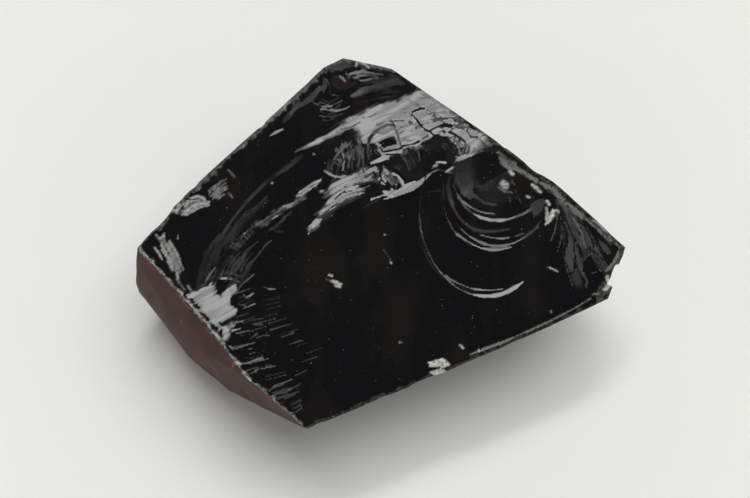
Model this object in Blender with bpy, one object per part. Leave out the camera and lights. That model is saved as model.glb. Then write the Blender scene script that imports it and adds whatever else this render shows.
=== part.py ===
"""An obsidian chunk: one natural lump of black volcanic glass, about 60 mm long.

The lump is built the way it broke. A rough block is struck by a set of fractures, each a
slightly hollow surface with rings that spread from the point of the blow, and the last and
largest fracture is the glossy face on top. It lies on a flat break, at Z = 0.

Design numbers are millimetres and are turned to metres where a mesh is made. +Z is up, -Y is
the near side, and the origin is the middle of the footprint.
"""

import math
from dataclasses import dataclass

import bmesh
import bpy
import numpy as np
from mathutils import Matrix, Vector

MM = 0.001
NAME = "obsidian_chunk"

# Driving dimensions of the lump.
BLOCK_SIZE = (68.0, 58.0, 26.0)
FACE_STEP = 0.5
SIDE_STEP = 2.0
CUTTER_REACH = 32.0
KEPT_SHARE = 0.15

# The glossy top face: a low barrel whose crest runs from near left to far right. Past the
# crest it bends no further than this reach.
FACE_HEIGHT = 18.1
FACE_SLOPE_X = -0.045
FACE_SLOPE_Y = 0.11
BARREL_AXIS_DEG = 32.3
BARREL_RADIUS = 62.0
BARREL_CREST = 17.0
BARREL_REACH = 13.0
BLOW = (9.4, -17.4)


@dataclass(frozen=True)
class Break:
    """One side fracture, hung from the edge that it shares with the surface above it."""

    name: str
    start: tuple
    end: tuple
    lean: float
    reach: float
    hollow: float = 0.5
    bow: float = 0.0
    blow: tuple = (0.0, 0.0)
    ring_gap: float = 4.0
    ring_height: float = 0.08
    span: tuple = (136.0, 70.0)


# Edges run anticlockwise seen from above, so that the outside is on the right of each.
# A positive lean flares outwards below the edge, and a negative one cuts back under it.
BREAKS = (
    Break("far_right_side", (30.4, -1.4, 14.9), (1.5, 22.5, 17.0), -3.0, 11.0, 0.7, 0.0, (-6.0, 0.0), 4.5, 0.12),
    Break("far_shoulder", (6.0, 18.5, 16.5), (-0.6, 23.8, 16.0), -6.0, 9.0, 0.3, 0.0, (2.0, 0.0), 3.0, 0.05),
    Break("far_tip", (1.2, 22.5, 16.0), (-5.8, 24.9, 16.0), 4.0, 9.0, 0.3, 0.0, (2.0, 0.0), 3.0, 0.05),
    Break("far_left_side", (-5.0, 24.8, 15.5), (-24.0, 5.2, 16.7), -4.0, 11.0, 0.8, -0.1, (5.0, 0.0), 4.0, 0.12),
    Break("far_left_turn", (-23.3, 6.1, 16.7), (-28.9, -1.2, 16.9), -2.0, 11.0, 0.5, 0.0, (2.0, 0.0), 4.0, 0.06),
    Break("left_corner", (-28.9, -1.2, 16.9), (-29.4, -2.4, 16.9), 35.0, 6.0, 0.1, 0.0, (0.0, 0.0), 2.0, 0.04),
    Break("rind_side", (-28.4, -2.2, 17.2), (-14.4, -20.5, 15.4), 12.0, 11.0, -0.9, 0.0, (-8.0, -2.0), 5.0, 0.04),
    Break("near_facet", (-15.8, -18.9, 15.6), (-8.4, -24.9, 14.4), 0.0, 6.0, 0.1, 0.0, (2.0, 0.0), 3.0, 0.03),
    Break("near_corner", (-18.6, -17.6, 6.9), (-8.4, -25.3, 14.0), -38.0, 9.0, 0.3, 0.0, (2.0, 0.0), 3.0, 0.06),
    Break("near_right_side", (-9.5, -25.4, 13.9), (28.4, -7.3, 13.2), -37.0, 17.0, 0.9, 0.3, (4.0, 0.0), 4.5, 0.14),
    Break("right_tip", (27.8, -8.8, 13.4), (30.8, 0.0, 15.0), -22.0, 14.0, 0.3, 0.0, (0.0, 0.0), 2.5, 0.05),
    Break("right_notch", (27.8, -6.0, 13.6), (29.1, -3.4, 14.0), -25.0, 14.0, 0.0, 0.0, (0.0, 0.0), 2.5, 0.0, (3.0, 40.0)),
    Break("under_rind", (-30.2, -3.6, 6.3), (-19.4, -16.4, 6.2), -48.0, 9.0, 0.4, 0.0, (3.0, 0.0), 3.0, 0.06),
    Break("under_far_left", (-8.0, 22.6, 7.2), (-29.5, -3.0, 6.0), -42.0, 10.0, 0.5, 0.0, (-4.0, 0.0), 3.5, 0.10),
    Break("under_far_right", (29.8, -2.6, 8.0), (-3.0, 24.6, 6.0), -40.0, 12.0, 0.8, 0.0, (2.0, 0.0), 4.0, 0.12),
)


def smooth(t):
    """Eases from 0 to 1 as t goes from 0 to 1."""
    t = np.clip(t, 0.0, 1.0)
    return t * t * (3.0 - 2.0 * t)


def to_crest(x, y):
    """Turns places into t, along the barrel's crest, and s, away from the blow."""
    turn = math.radians(BARREL_AXIS_DEG)
    east = x - BLOW[0]
    north = y - BLOW[1]
    return east * math.cos(turn) + north * math.sin(turn), north * math.cos(turn) - east * math.sin(turn)


def barrel(x, y):
    """The broad form of the top face, before anything breaks it up."""
    across = to_crest(x, y)[1] - BARREL_CREST
    straight = np.maximum(across - BARREL_REACH, 0.0)
    plane = FACE_HEIGHT + FACE_SLOPE_X * x + FACE_SLOPE_Y * y
    return plane - (across**2 - straight**2) / (2.0 * BARREL_RADIUS)


# The flat scar behind the crest: its level, its slopes, and the ragged foot where it ends, as
# t along the crest, s from the blow and how wide the step down is.
SCAR_LEVEL = 17.60
SCAR_SLOPE_X = 0.022
SCAR_SLOPE_Y = -0.001
SCAR_FOOT = (
    (-1.6, 34.4, 0.5),
    (3.3, 33.2, 1.3),
    (5.9, 33.3, 2.2),
    (6.6, 31.2, 2.2),
    (9.7, 30.2, 2.2),
    (11.2, 27.4, 2.0),
    (14.4, 25.6, 0.6),
    (14.9, 22.9, 0.6),
    (18.9, 21.2, 0.6),
    (22.0, 19.5, 0.6),
)


def with_scar(x, y, z):
    """Lowers the face to the flat scar behind its foot, wherever the scar lies below it."""
    t, s = to_crest(x, y)
    along, foot, step = zip(*SCAR_FOOT)
    behind = s - np.interp(t, along, foot)
    share = smooth(behind / np.interp(t, along, step) + 0.5)
    scar = SCAR_LEVEL + SCAR_SLOPE_X * x + SCAR_SLOPE_Y * y
    return z * (1.0 - share) + np.minimum(z, scar) * share


# The bull's-eye: rings that drop one by one towards the blow on the far right edge.
# Each is centre x, centre y, radius, how far it drops, over what width, and from and to which
# turn in degrees.
RINGS = (
    (13.15, -0.6, 8.05, 0.26, 0.75, 175.0, 318.0),
    (14.4, 3.95, 6.75, 0.25, 0.62, 160.0, 335.0),
    (15.1, 6.35, 5.70, 0.25, 0.62, 150.0, 330.0),
)
RING_END_DEG = 22.0
BOWL = (16.9, 7.2, 5.0, 0.75)


def hollow(x, y, centre_x, centre_y, radius, depth):
    """How far a round hollow lowers each place."""
    share = np.hypot(x - centre_x, y - centre_y) / radius
    return depth * np.clip(1.0 - share**2, 0.0, 1.0)


def bulls_eye(x, y):
    """How far the rings and the bowl inside them lower each place."""
    drop = hollow(x, y, *BOWL)
    for centre_x, centre_y, radius, depth, width, from_deg, to_deg in RINGS:
        inside = radius - np.hypot(x - centre_x, y - centre_y)
        turn = np.degrees(np.arctan2(y - centre_y, x - centre_x))
        off = np.abs(np.mod(turn - 0.5 * (from_deg + to_deg) + 180.0, 360.0) - 180.0)
        fade = smooth((0.5 * (to_deg - from_deg) - off) / RING_END_DEG + 0.5)
        drop += depth * fade * smooth(inside / width)
    return drop


# The fan of pleats at the right tip: how steeply it falls away from its root, by turn.
FAN_ROOT = (22.3, 3.4)
FAN_FALL = ((-84.0, 0.0), (-72.5, 0.055), (-60.0, -0.005), (-50.0, 0.05), (-44.0, 0.02), (-40.0, 0.045), (-34.0, 0.0))
FAN_START, FAN_START_WIDTH = 0.3, 1.5
FAN_REACH, FAN_END_WIDTH = 11.5, 4.0


def fan(x, y):
    """How far the pleats lower each place."""
    away = np.hypot(x - FAN_ROOT[0], y - FAN_ROOT[1])
    turn = np.degrees(np.arctan2(y - FAN_ROOT[1], x - FAN_ROOT[0]))
    ends = smooth((away - FAN_START) / FAN_START_WIDTH) * smooth((FAN_REACH - away) / FAN_END_WIDTH)
    return np.interp(turn, *zip(*FAN_FALL)) * away * ends


# Scoops: centre x, centre y, radius and depth of each small hollow. The first is the pit
# between the scar and the rings, the second is on the far knob and the rest are rim chips.
SCOOPS = (
    (7.3, 10.2, 2.1, 0.8),
    (-5.0, 21.0, 2.6, 0.5),
    (20.2, 8.6, 1.8, 0.5),
    (-25.9, 1.4, 2.2, 0.4),
    (6.8, -18.6, 1.8, 0.4),
    (29.6, -4.4, 1.4, 0.5),
)


def face_height(x, y):
    """Height of the top face."""
    z = with_scar(x, y, barrel(x, y)) - bulls_eye(x, y) - fan(x, y)
    for scoop in SCOOPS:
        z -= hollow(x, y, *scoop)
    return z


# Below a rim, the rings of a side fracture grow to their full height over this distance.
RING_FADE = 5.0


def side_height(fracture, u, v):
    """How far a side fracture stands out of its own plane; v runs up past its edge."""
    length = (Vector(fracture.end) - Vector(fracture.start)).length
    fall = np.clip(-v / fracture.reach, 0.0, 1.0)
    sunk = -4.0 * fracture.hollow * fall * (1.0 - fall)
    bow = fracture.bow * np.clip(1.0 - (2.0 * u / length) ** 2, -1.0, 1.0)
    ring = np.hypot(u - fracture.blow[0], v - fracture.blow[1]) / fracture.ring_gap
    ripple = fracture.ring_height * smooth(-v / RING_FADE) * np.sin(2.0 * math.pi * ring)
    return sunk + bow + ripple


def collection(name):
    """A new collection in the scene."""
    made = bpy.data.collections.new(name)
    bpy.context.scene.collection.children.link(made)
    return made


def cutter(name, size, step, height, matrix, into):
    """A closed block whose underside is the surface height(u, v), placed by matrix."""
    mesh = bmesh.new()
    segments = [max(2, round(side / step)) for side in size]
    bmesh.ops.create_grid(mesh, x_segments=segments[0], y_segments=segments[1], size=0.5)
    places = np.array([vertex.co for vertex in mesh.verts])
    u = places[:, 0] * size[0]
    v = places[:, 1] * size[1]
    for vertex, place in zip(mesh.verts, zip(u, v, height(u, v))):
        vertex.co = Vector(place)
    grown = bmesh.ops.extrude_face_region(mesh, geom=mesh.faces[:])
    for item in grown["geom"]:
        if isinstance(item, bmesh.types.BMVert):
            item.co.z = CUTTER_REACH
    mesh.transform(Matrix.Scale(MM, 4) @ matrix)
    bmesh.ops.recalc_face_normals(mesh, faces=mesh.faces)
    if mesh.calc_volume(signed=True) < 0.0:
        bmesh.ops.reverse_faces(mesh, faces=mesh.faces)
    data = bpy.data.meshes.new(name)
    mesh.to_mesh(data)
    mesh.free()
    made = bpy.data.objects.new(name, data)
    made.hide_render = True
    made.display_type = "WIRE"
    into.objects.link(made)
    return made


def edge_matrix(fracture):
    """Puts u along the fracture's edge, v up its surface and w out of the lump."""
    start = Vector(fracture.start)
    end = Vector(fracture.end)
    along = (end - start).normalized()
    level = Vector((along.y, -along.x, 0.0)).normalized()
    rise = level.cross(along).normalized()
    lean = math.radians(fracture.lean)
    out = level * math.cos(lean) + rise * math.sin(lean)
    turned = Matrix((along, out.cross(along), out)).transposed().to_4x4()
    return Matrix.Translation((start + end) / 2.0) @ turned


def side_cutter(fracture, into):
    """The cutter for one side fracture."""

    def height(u, v):
        return side_height(fracture, u, v)

    return cutter(fracture.name, fracture.span, SIDE_STEP, height, edge_matrix(fracture), into)


def face_cutter(into):
    """The cutter that leaves the glossy top face."""
    size = (BLOCK_SIZE[0] + 2.0, BLOCK_SIZE[1] + 2.0)
    made = cutter("top_face", size, FACE_STEP, face_height, Matrix.Identity(4), into)
    fewer = made.modifiers.new("fewer_facets", "DECIMATE")
    fewer.ratio = KEPT_SHARE
    return made


def glass():
    """Black volcanic glass with the sheen of a fresh fracture."""
    made = bpy.data.materials.new("obsidian")
    made.use_nodes = True
    shader = made.node_tree.nodes["Principled BSDF"]
    shader.inputs["Base Color"].default_value = (0.006, 0.005, 0.006, 1.0)
    shader.inputs["Roughness"].default_value = 0.08
    shader.inputs["Metallic"].default_value = 0.0
    return made


def rough_block(into):
    """The block of glass before any fracture, flat on its underside at Z = 0."""
    mesh = bmesh.new()
    bmesh.ops.create_cube(mesh, size=1.0)
    bmesh.ops.scale(mesh, vec=BLOCK_SIZE, verts=mesh.verts)
    bmesh.ops.translate(mesh, vec=(0.0, 0.0, BLOCK_SIZE[2] / 2.0), verts=mesh.verts)
    mesh.transform(Matrix.Scale(MM, 4))
    data = bpy.data.meshes.new(NAME)
    mesh.to_mesh(data)
    mesh.free()
    made = bpy.data.objects.new(NAME, data)
    made.data.materials.append(glass())
    into.objects.link(made)
    return made


def strike(lump, tool):
    """Takes one fracture off the lump. EXACT loses the lump after a second wavy cut."""
    step = lump.modifiers.new(tool.name, "BOOLEAN")
    step.operation = "DIFFERENCE"
    step.solver = "MANIFOLD"
    step.object = tool


def main():
    for leftover in list(bpy.data.objects):
        bpy.data.objects.remove(leftover)
    parts = collection("obsidian")
    cutters = collection("fractures")
    lump = rough_block(parts)
    for fracture in BREAKS:
        strike(lump, side_cutter(fracture, cutters))
    strike(lump, face_cutter(cutters))


main()
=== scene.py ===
"""An obsidian chunk, dressed: one lump of black volcanic glass lying on a pale floor.

The lump is broken out of a block by the same fractures as its CAD part, each drawn finer.
Its glossy top face is worked out from what its slopes mirror: a bare polished glass shows only
its surroundings, so every streak, ring and ledge is a small change of slope.

Sizes are millimetres and are turned to metres where a mesh is made. +Z is up and -Y is the
near side.
"""

import logging
import math
from dataclasses import dataclass, field
from enum import Enum
from typing import Callable

import bpy
import numpy as np
from mathutils import Matrix, Vector


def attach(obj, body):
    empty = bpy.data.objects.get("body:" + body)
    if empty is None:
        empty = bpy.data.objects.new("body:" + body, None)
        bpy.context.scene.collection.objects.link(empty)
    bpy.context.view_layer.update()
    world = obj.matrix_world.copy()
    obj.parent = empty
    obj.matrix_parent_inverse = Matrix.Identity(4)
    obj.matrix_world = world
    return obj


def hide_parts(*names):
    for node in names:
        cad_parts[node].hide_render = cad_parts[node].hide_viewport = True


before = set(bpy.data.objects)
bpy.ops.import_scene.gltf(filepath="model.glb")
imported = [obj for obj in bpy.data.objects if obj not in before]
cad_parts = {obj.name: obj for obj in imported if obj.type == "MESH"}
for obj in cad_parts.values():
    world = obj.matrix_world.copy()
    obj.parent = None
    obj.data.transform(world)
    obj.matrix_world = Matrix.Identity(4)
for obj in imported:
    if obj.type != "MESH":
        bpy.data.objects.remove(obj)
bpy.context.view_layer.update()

MM = 0.001
NODE = "obsidian_chunk"
BODY = "root"
LOG = logging.getLogger("obsidian_chunk")

# Above this height, in millimetres, the face is pressed down by this share.
HIGHEST = 18.3
PRESSED = 0.6

# Typical height of the glossy face, and how often a line of sight is corrected to its real one.
FACE_LEVEL = 17.0
SIGHT_ROUNDS = 8

# How many random values value_noise has each way before it repeats.
TABLE = 64

Array = np.ndarray
Point = tuple[float, float]
Place = tuple[float, float, float]
Socket = bpy.types.NodeSocket
Value = Socket | tuple | float | None

# A value from the first level to the second becomes one from the third to the fourth.
Levels = tuple[float, float, float, float]

# Settings that many nodes share.
EASED = {"interpolation_type": "SMOOTHSTEP"}
TIMES = {"operation": "MULTIPLY"}
COLOURS = {"data_type": "RGBA"}


def per_metre(size_mm: float) -> float:
    """How many lumps of noise of a size fit in a metre."""
    return 1.0 / (size_mm * MM)


def eased(share: Array | float) -> Array | float:
    """Eases from 0 to 1 as the share goes from 0 to 1."""
    share = np.clip(share, 0.0, 1.0)
    return share * share * (3.0 - 2.0 * share)


def softened(values: Array, passes: int) -> Array:
    """Blurs a grid of values by mixing each with its neighbours.

    Args:
        values: The grid.
        passes: How many times.

    Returns:
        The blurred grid.
    """
    for _ in range(passes):
        for axis in range(2):
            values = np.moveaxis(values, axis, 0)
            before = np.concatenate([values[:1], values[:-1]])
            after = np.concatenate([values[1:], values[-1:]])
            values = np.moveaxis(0.5 * values + 0.25 * (before + after), 0, axis)
    return values


def value_noise(x: Array, y: Array | float, seed: int) -> Array:
    """Smooth random values from -1 to 1, one per unit cell.

    Args:
        x: First coordinate, in cells.
        y: Second coordinate, in cells.
        seed: Picks the table of values.

    Returns:
        The value at each place.
    """
    table = np.random.RandomState(seed).uniform(-1.0, 1.0, (TABLE, TABLE))
    y = y + np.zeros_like(x)
    column, row = np.floor(x).astype(int), np.floor(y).astype(int)
    across, up = eased(x - column), eased(y - row)
    left, right, near, far = column % TABLE, (column + 1) % TABLE, row % TABLE, (row + 1) % TABLE
    low = table[left, near] * (1.0 - across) + table[right, near] * across
    high = table[left, far] * (1.0 - across) + table[right, far] * across
    return low * (1.0 - up) + high * up


def rough_noise(x: Array, y: Array, octaves: int, seed: int) -> Array:
    """Value noise with finer and weaker layers added.

    Args:
        x: First coordinate, in cells of the coarsest layer.
        y: Second coordinate, in the same cells.
        octaves: How many layers.
        seed: Picks the tables of values.

    Returns:
        The sum of the layers at each place.
    """
    return sum(0.5**layer * value_noise(x * 2**layer, y * 2**layer, seed + layer) for layer in range(octaves))


# What the face mirrors, and where it is seen from.


@dataclass(frozen=True)
class View:
    """Where the camera stands, in millimetres, and how it looks down on the face.

    Its frame is 750 steps wide and 498 high, and the marks of the face are laid out in it.
    """

    target: Place = (0.3, -0.8, 14.4)
    look_down_deg: float = 64.0
    distance: float = 232.0
    lens: float = 90.0
    sensor: float = 36.0
    frame_size: Point = (750.0, 498.0)
    shift: Point = (-4.0 / 750.0, -5.0 / 750.0)

    @property
    def back(self) -> Array:
        """Unit vector from the target towards the camera."""
        down = math.radians(self.look_down_deg)
        return np.array([0.0, -math.cos(down), math.sin(down)])

    @property
    def eye(self) -> Array:
        """The camera's place."""
        return np.array(self.target) + self.distance * self.back

    @property
    def focal(self) -> float:
        """Focal length, in steps of the frame."""
        return self.lens / self.sensor * self.frame_size[0]

    @property
    def step(self) -> float:
        """What one step of the frame covers at the target, in millimetres."""
        return self.distance / self.focal

    def onto(self, places: Array, height: Callable[[Array, Array], Array]) -> Array:
        """Finds where the lines of sight through places of the frame meet the face.

        Args:
            places: Places of the frame, one row each, from its top left corner.
            height: Gives the height of the face over x and y.

        Returns:
            x and y of each place, in millimetres.
        """
        middle_u = self.frame_size[0] * (0.5 - self.shift[0])
        middle_v = self.frame_size[1] * 0.5 + self.frame_size[0] * self.shift[1]
        east = (places[:, 0] - middle_u) / self.focal
        north = (middle_v - places[:, 1]) / self.focal
        rise = np.array([0.0, self.back[2], -self.back[1]])
        sight = east[:, None] * np.array([1.0, 0.0, 0.0]) + north[:, None] * rise - self.back
        level = np.full(len(places), FACE_LEVEL)
        for _ in range(SIGHT_ROUNDS):
            reach = (level - self.eye[2]) / sight[:, 2]
            meet = self.eye + reach[:, None] * sight
            level = height(meet[:, 0], meet[:, 1])
        return meet[:, :2]


VIEW = View()


@dataclass(frozen=True)
class Glow:
    """A soft-edged bright area of the surroundings, by direction and half sizes in degrees."""

    towards: Place
    long_axis: Place
    half_long: float
    half_short: float
    soft: float
    radiance: float

    @property
    def middle(self) -> Array:
        """Unit vector towards its middle."""
        return np.array(self.towards) / np.linalg.norm(self.towards)

    @property
    def along(self) -> Array:
        """Unit vector along its length, square to its middle."""
        raw = np.array(self.long_axis)
        raw = raw - self.middle * (self.middle @ raw)
        return raw / np.linalg.norm(raw)

    @property
    def across(self) -> Array:
        """Unit vector across its length, square to both."""
        return np.cross(self.middle, self.along)


LAMP = Glow((-0.10, 0.40, 0.91), (0.845, 0.534, 0.0), 14.0, 1.6, 4.5, 10.9)
CARD = Glow((0.58, 0.22, 0.78), (0.0, 0.0, 1.0), 8.0, 8.0, 9.0, 0.9)


@dataclass(frozen=True)
class Surroundings:
    """A pale room: bright low down all round, dark overhead, with one lamp and one card."""

    overhead: float = 0.12
    horizon: float = 1.0
    dark_from_deg: float = 42.0
    bright_to_deg: float = 22.0
    below: float = 0.8
    glows: tuple[Glow, ...] = (LAMP, CARD)


@dataclass(frozen=True)
class BlowAxes:
    """Level axes of the great fracture: t runs along the barrel's crest and s away from the blow."""

    blow: Point = (9.4, -17.4)
    turn_deg: float = 32.3

    @property
    def crest(self) -> Point:
        """Unit vector along t."""
        return math.cos(math.radians(self.turn_deg)), math.sin(math.radians(self.turn_deg))

    @property
    def away(self) -> Point:
        """Unit vector along s."""
        return -self.crest[1], self.crest[0]

    def to_ts(self, x: Array, y: Array) -> tuple[Array, Array]:
        """Turns places into t and s, in millimetres."""
        east, north = x - self.blow[0], y - self.blow[1]
        return east * self.crest[0] + north * self.crest[1], east * self.away[0] + north * self.away[1]


AXES = BlowAxes()

# Places within this share of the lamp's full light are turned towards its middle.
NEARLY_FULL = 0.15


def off_lamp(shine: Array, half: float) -> Array:
    """The angle off the lamp's middle, one way, at which it gives a share of its light.

    Args:
        shine: The share, from 0 for none to 1 for all.
        half: How far the lamp's full light reaches that way, in degrees.

    Returns:
        The angle in degrees.
    """
    shine = np.clip(shine, 0.0, 1.0)
    risen = 0.5 - np.sin(np.arcsin(1.0 - 2.0 * shine) / 3.0)
    return half * np.minimum((1.0 - shine) / NEARLY_FULL, 1.0) + LAMP.soft * (1.0 - risen)


def mirror_slopes(x: Array, y: Array, turn_deg: Array | float) -> tuple[Array, Array]:
    """The slopes at which the face shows the camera the lamp, or a place beside it.

    Args:
        x: First coordinate of each place.
        y: Second coordinate.
        turn_deg: How far from the lamp's middle, across it; above 0 is on the camera's side.

    Returns:
        The slopes along x and y.
    """
    turn = np.radians(turn_deg)
    to_eye = [VIEW.eye[0] - x, VIEW.eye[1] - y, VIEW.eye[2] - FACE_LEVEL]
    distance = np.sqrt(to_eye[0] ** 2 + to_eye[1] ** 2 + to_eye[2] ** 2)
    half = [
        to_eye[axis] / distance + LAMP.middle[axis] * np.cos(turn) - LAMP.across[axis] * np.sin(turn)
        for axis in range(3)
    ]
    return -half[0] / half[2], -half[1] / half[2]


# Marks on the face.

# No stroke is drawn thinner than this half width, in millimetres.
THINNEST = 0.11

# A dark line would close up if it were drawn thinner than this half width.
THINNEST_DARK = 0.13

# A dark line is smoother than a bright one, so it takes this share of the grain.
DARK_GRAIN = 0.3


@dataclass
class Path:
    """A line of points and what a place's distance along and from it is."""

    points: Array

    def measure(self, x: Array, y: Array) -> tuple[Array, Array, Array, Array]:
        """Measures every place against the line.

        Args:
            x: First coordinates.
            y: Second coordinates.

        Returns:
            The distance, the signed distance, how far along, and where each point lies along.
        """
        steps = self.points[1:, :2] - self.points[:-1, :2]
        lengths = np.hypot(steps[:, 0], steps[:, 1])
        starts = np.concatenate([[0.0], np.cumsum(lengths)])
        nearest = np.full(x.shape, np.inf)
        signed = np.zeros(x.shape)
        run = np.zeros(x.shape)
        for index, length in enumerate(lengths):
            ahead, left = steps[index] / length
            east, north = x - self.points[index, 0], y - self.points[index, 1]
            forward = np.clip(east * ahead + north * left, 0.0, length)
            sideways = north * ahead - east * left
            distance = np.hypot(east * ahead + north * left - forward, sideways)
            closer = distance < nearest
            nearest[closer] = distance[closer]
            signed[closer] = (np.sign(sideways) * distance)[closer]
            run[closer] = (starts[index] + forward)[closer]
        return nearest, signed, run, starts


class Shine(float, Enum):
    """How much of the lamp a mark mirrors."""

    BLACK = 0.0
    FAINT = 0.055
    DIM = 0.13
    GREY = 0.28
    PALE = 0.5
    BRIGHT = 0.8
    FULL = 1.0


BLACK, FAINT, DIM, GREY, PALE, BRIGHT, FULL = Shine


class Tint(Enum):
    """What the glass itself turns to, by the name of the mesh attribute that holds how far."""

    CRUSHED = "crushed"
    SMOKY = "smoky"
    WARM = "warm"


CRUSHED, SMOKY, WARM = Tint


@dataclass(frozen=True)
class Stroke:
    """A brush-like stroke, whose path is (u, v, half width) in steps of the frame."""

    shine: Shine
    path: tuple[Place, ...]
    tint: Tint | None = None
    tinted: float = 1.0
    ragged: float = 0.3
    ragged_mm: float = 0.9
    grain: float = 0.35
    hair: float = 0.2
    hair_length: float = 2.5
    broken_mm: Point = (0.7, 0.5)
    edge: float = 0.8
    firm: float = 0.6

    @property
    def places(self) -> Array:
        """The points of its path in the frame."""
        return np.array(self.path)[:, :2]

    def cover(self, laid: Array, x: Array, y: Array, seed: int) -> tuple[Array, Array]:
        """How far each place belongs to the stroke, from 0 to 1, and how it shines there.

        Args:
            laid: Its points on the face, in millimetres.
            x: First coordinates.
            y: Second coordinates.
            seed: Picks its random edge and grain.

        Returns:
            The share and the shine.
        """
        dark = self.shine == BLACK
        distance, signed, run, starts = Path(laid).measure(x, y)
        half_widths = np.maximum(np.array(self.path)[:, 2] * VIEW.step, THINNEST_DARK if dark else THINNEST)
        width = np.interp(run, starts, half_widths)
        width = width * (1.0 + self.ragged * value_noise(run / self.ragged_mm, 0.0, seed))
        fibre = value_noise(signed / self.hair, run / self.hair_length, seed + 5)
        broken = value_noise(run / self.broken_mm[0], signed / self.broken_mm[1], seed + 6)
        grain = self.grain * (DARK_GRAIN if dark else 1.0)
        frayed = distance / width + grain * (0.7 * fibre + 0.3 * broken)
        share = eased((1.0 + self.edge - frayed) / (1.6 * self.edge))
        return share, self.shine * (1.0 + 0.6 * grain * (fibre + broken))


@dataclass(frozen=True)
class Pane:
    """An area of one slope, whose outline is (u, v) in steps of the frame."""

    shine: Shine
    outline: tuple[Point, ...]
    tint: Tint | None = None
    tinted: float = 1.0
    soft: float = 0.12
    ragged: float = 0.06
    ragged_mm: float = 0.9
    grain: float = 0.5
    lie_deg: float = 32.3
    fray: float = 0.15
    hair: float = 0.22
    hair_length: float = 3.0
    cloud_mm: Point = (1.2, 3.0)
    firm: float = 0.6

    @property
    def places(self) -> Array:
        """The points of its outline in the frame."""
        return np.array(self.outline)

    def cover(self, laid: Array, x: Array, y: Array, seed: int) -> tuple[Array, Array]:
        """How far each place belongs to the area, from 0 to 1, and how it shines there.

        Args:
            laid: Its corners on the face, in millimetres.
            x: First coordinates.
            y: Second coordinates.
            seed: Picks its random edge and grain.

        Returns:
            The share and the shine.
        """
        inside = np.zeros(x.shape, bool)
        for (x1, y1), (x2, y2) in zip(laid, np.roll(laid, -1, axis=0)):
            if y1 != y2:
                crosses = (y1 > y) != (y2 > y)
                inside ^= crosses & (x < (x2 - x1) * (y - y1) / (y2 - y1) + x1)
        distance = Path(np.vstack([laid, laid[:1]])).measure(x, y)[0]
        depth = np.where(inside, distance, -distance)
        lie = math.radians(self.lie_deg)
        ahead = x * math.cos(lie) + y * math.sin(lie)
        beside = y * math.cos(lie) - x * math.sin(lie)
        fibre = 0.6 * value_noise(beside / self.hair, ahead / self.hair_length, seed + 7)
        fibre = fibre + 0.4 * value_noise(beside / (3.0 * self.hair), ahead / self.hair_length, seed + 9)
        ragged = rough_noise(x / self.ragged_mm, y / self.ragged_mm, 2, seed)
        depth = depth + self.ragged * ragged + self.fray * fibre
        cloud = value_noise(beside / self.cloud_mm[0], ahead / self.cloud_mm[1], seed + 11)
        return eased(0.5 + depth / self.soft), self.shine * (1.0 + self.grain * (fibre + 0.5 * cloud - 0.35))


def stroke(shine: Shine, *path: Place, **looks: float | Tint) -> Stroke:
    """A stroke through the given points."""
    return Stroke(shine, path, **looks)


def chip(shine: Shine, *path: Place, **looks: float | Tint) -> Stroke:
    """A stroke through the given points, where the glass is crushed."""
    return Stroke(shine, path, CRUSHED, **looks)


def pane(shine: Shine, *outline: Point, **looks: float | Tint) -> Pane:
    """An area with the given corners."""
    return Pane(shine, outline, **looks)


def strands(
    shines: tuple[Shine, ...],
    start: tuple[Point, ...],
    end: tuple[Point, ...],
    count: int,
    half_width: float,
    bend: float = 0.0,
    seed: int = 0,
    **looks: float | Tint,
) -> tuple[Stroke, ...]:
    """Fine strokes side by side, from one line to another, each a little different.

    Args:
        shines: What each one shines like, by chance.
        start: The line that they start on, in the frame.
        end: The line that they end on.
        count: How many.
        half_width: Their usual half width, in steps of the frame.
        bend: How far they bow to one side, as a share of their length.
        seed: Picks their random lengths, widths and shines.
        **looks: Any other settings of the strokes.

    Returns:
        The strokes.
    """
    chance = np.random.default_rng(seed)
    made = []
    for index in range(count):
        share = (index + 0.5 + chance.uniform(-0.45, 0.45)) / count
        ends = []
        for line in (np.array(start), np.array(end)):
            run = np.linspace(0.0, 1.0, len(line))
            ends.append(np.array([np.interp(share, run, line[:, axis]) for axis in range(2)]))
        short_by = chance.uniform(0.0, 0.45, 2)
        way = ends[1] - ends[0]
        first, last = ends[0] + short_by[0] * way, ends[1] - short_by[1] * way
        middle = 0.5 * (first + last) + bend * np.array([way[1], -way[0]])
        width = half_width * chance.uniform(0.5, 1.5)
        path = ((*first, 0.4 * width), (*middle, width), (*last, 0.3 * width))
        made.append(Stroke(shines[chance.integers(len(shines))], path, **looks))
    return tuple(made)


# The flat scar behind the crest, which mirrors nearly all of the lamp.
SCAR_PANE = (
    pane(FULL, (296, 149), (309, 141), (325, 132.5), (340, 124), (352, 117), (371, 108), (395, 101.5),
         (409, 96), (417, 91), (432, 98), (446, 109), (462, 124), (478, 135), (493, 145.5), (492, 151),
         (486, 153), (477, 152.5), (470, 155), (462, 158), (457, 160), (455, 150), (447, 138), (436, 134),
         (431, 137), (426, 140), (422, 143), (420, 147), (412, 150), (403, 152), (384, 157), (368, 161),
         (364, 163), (362, 137), (358, 129), (352, 127.5), (345, 129), (335, 134), (318, 141), soft=0.8,
         ragged=0.2, grain=0.35, fray=0.3, hair=0.3, hair_length=6.0),
)

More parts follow.
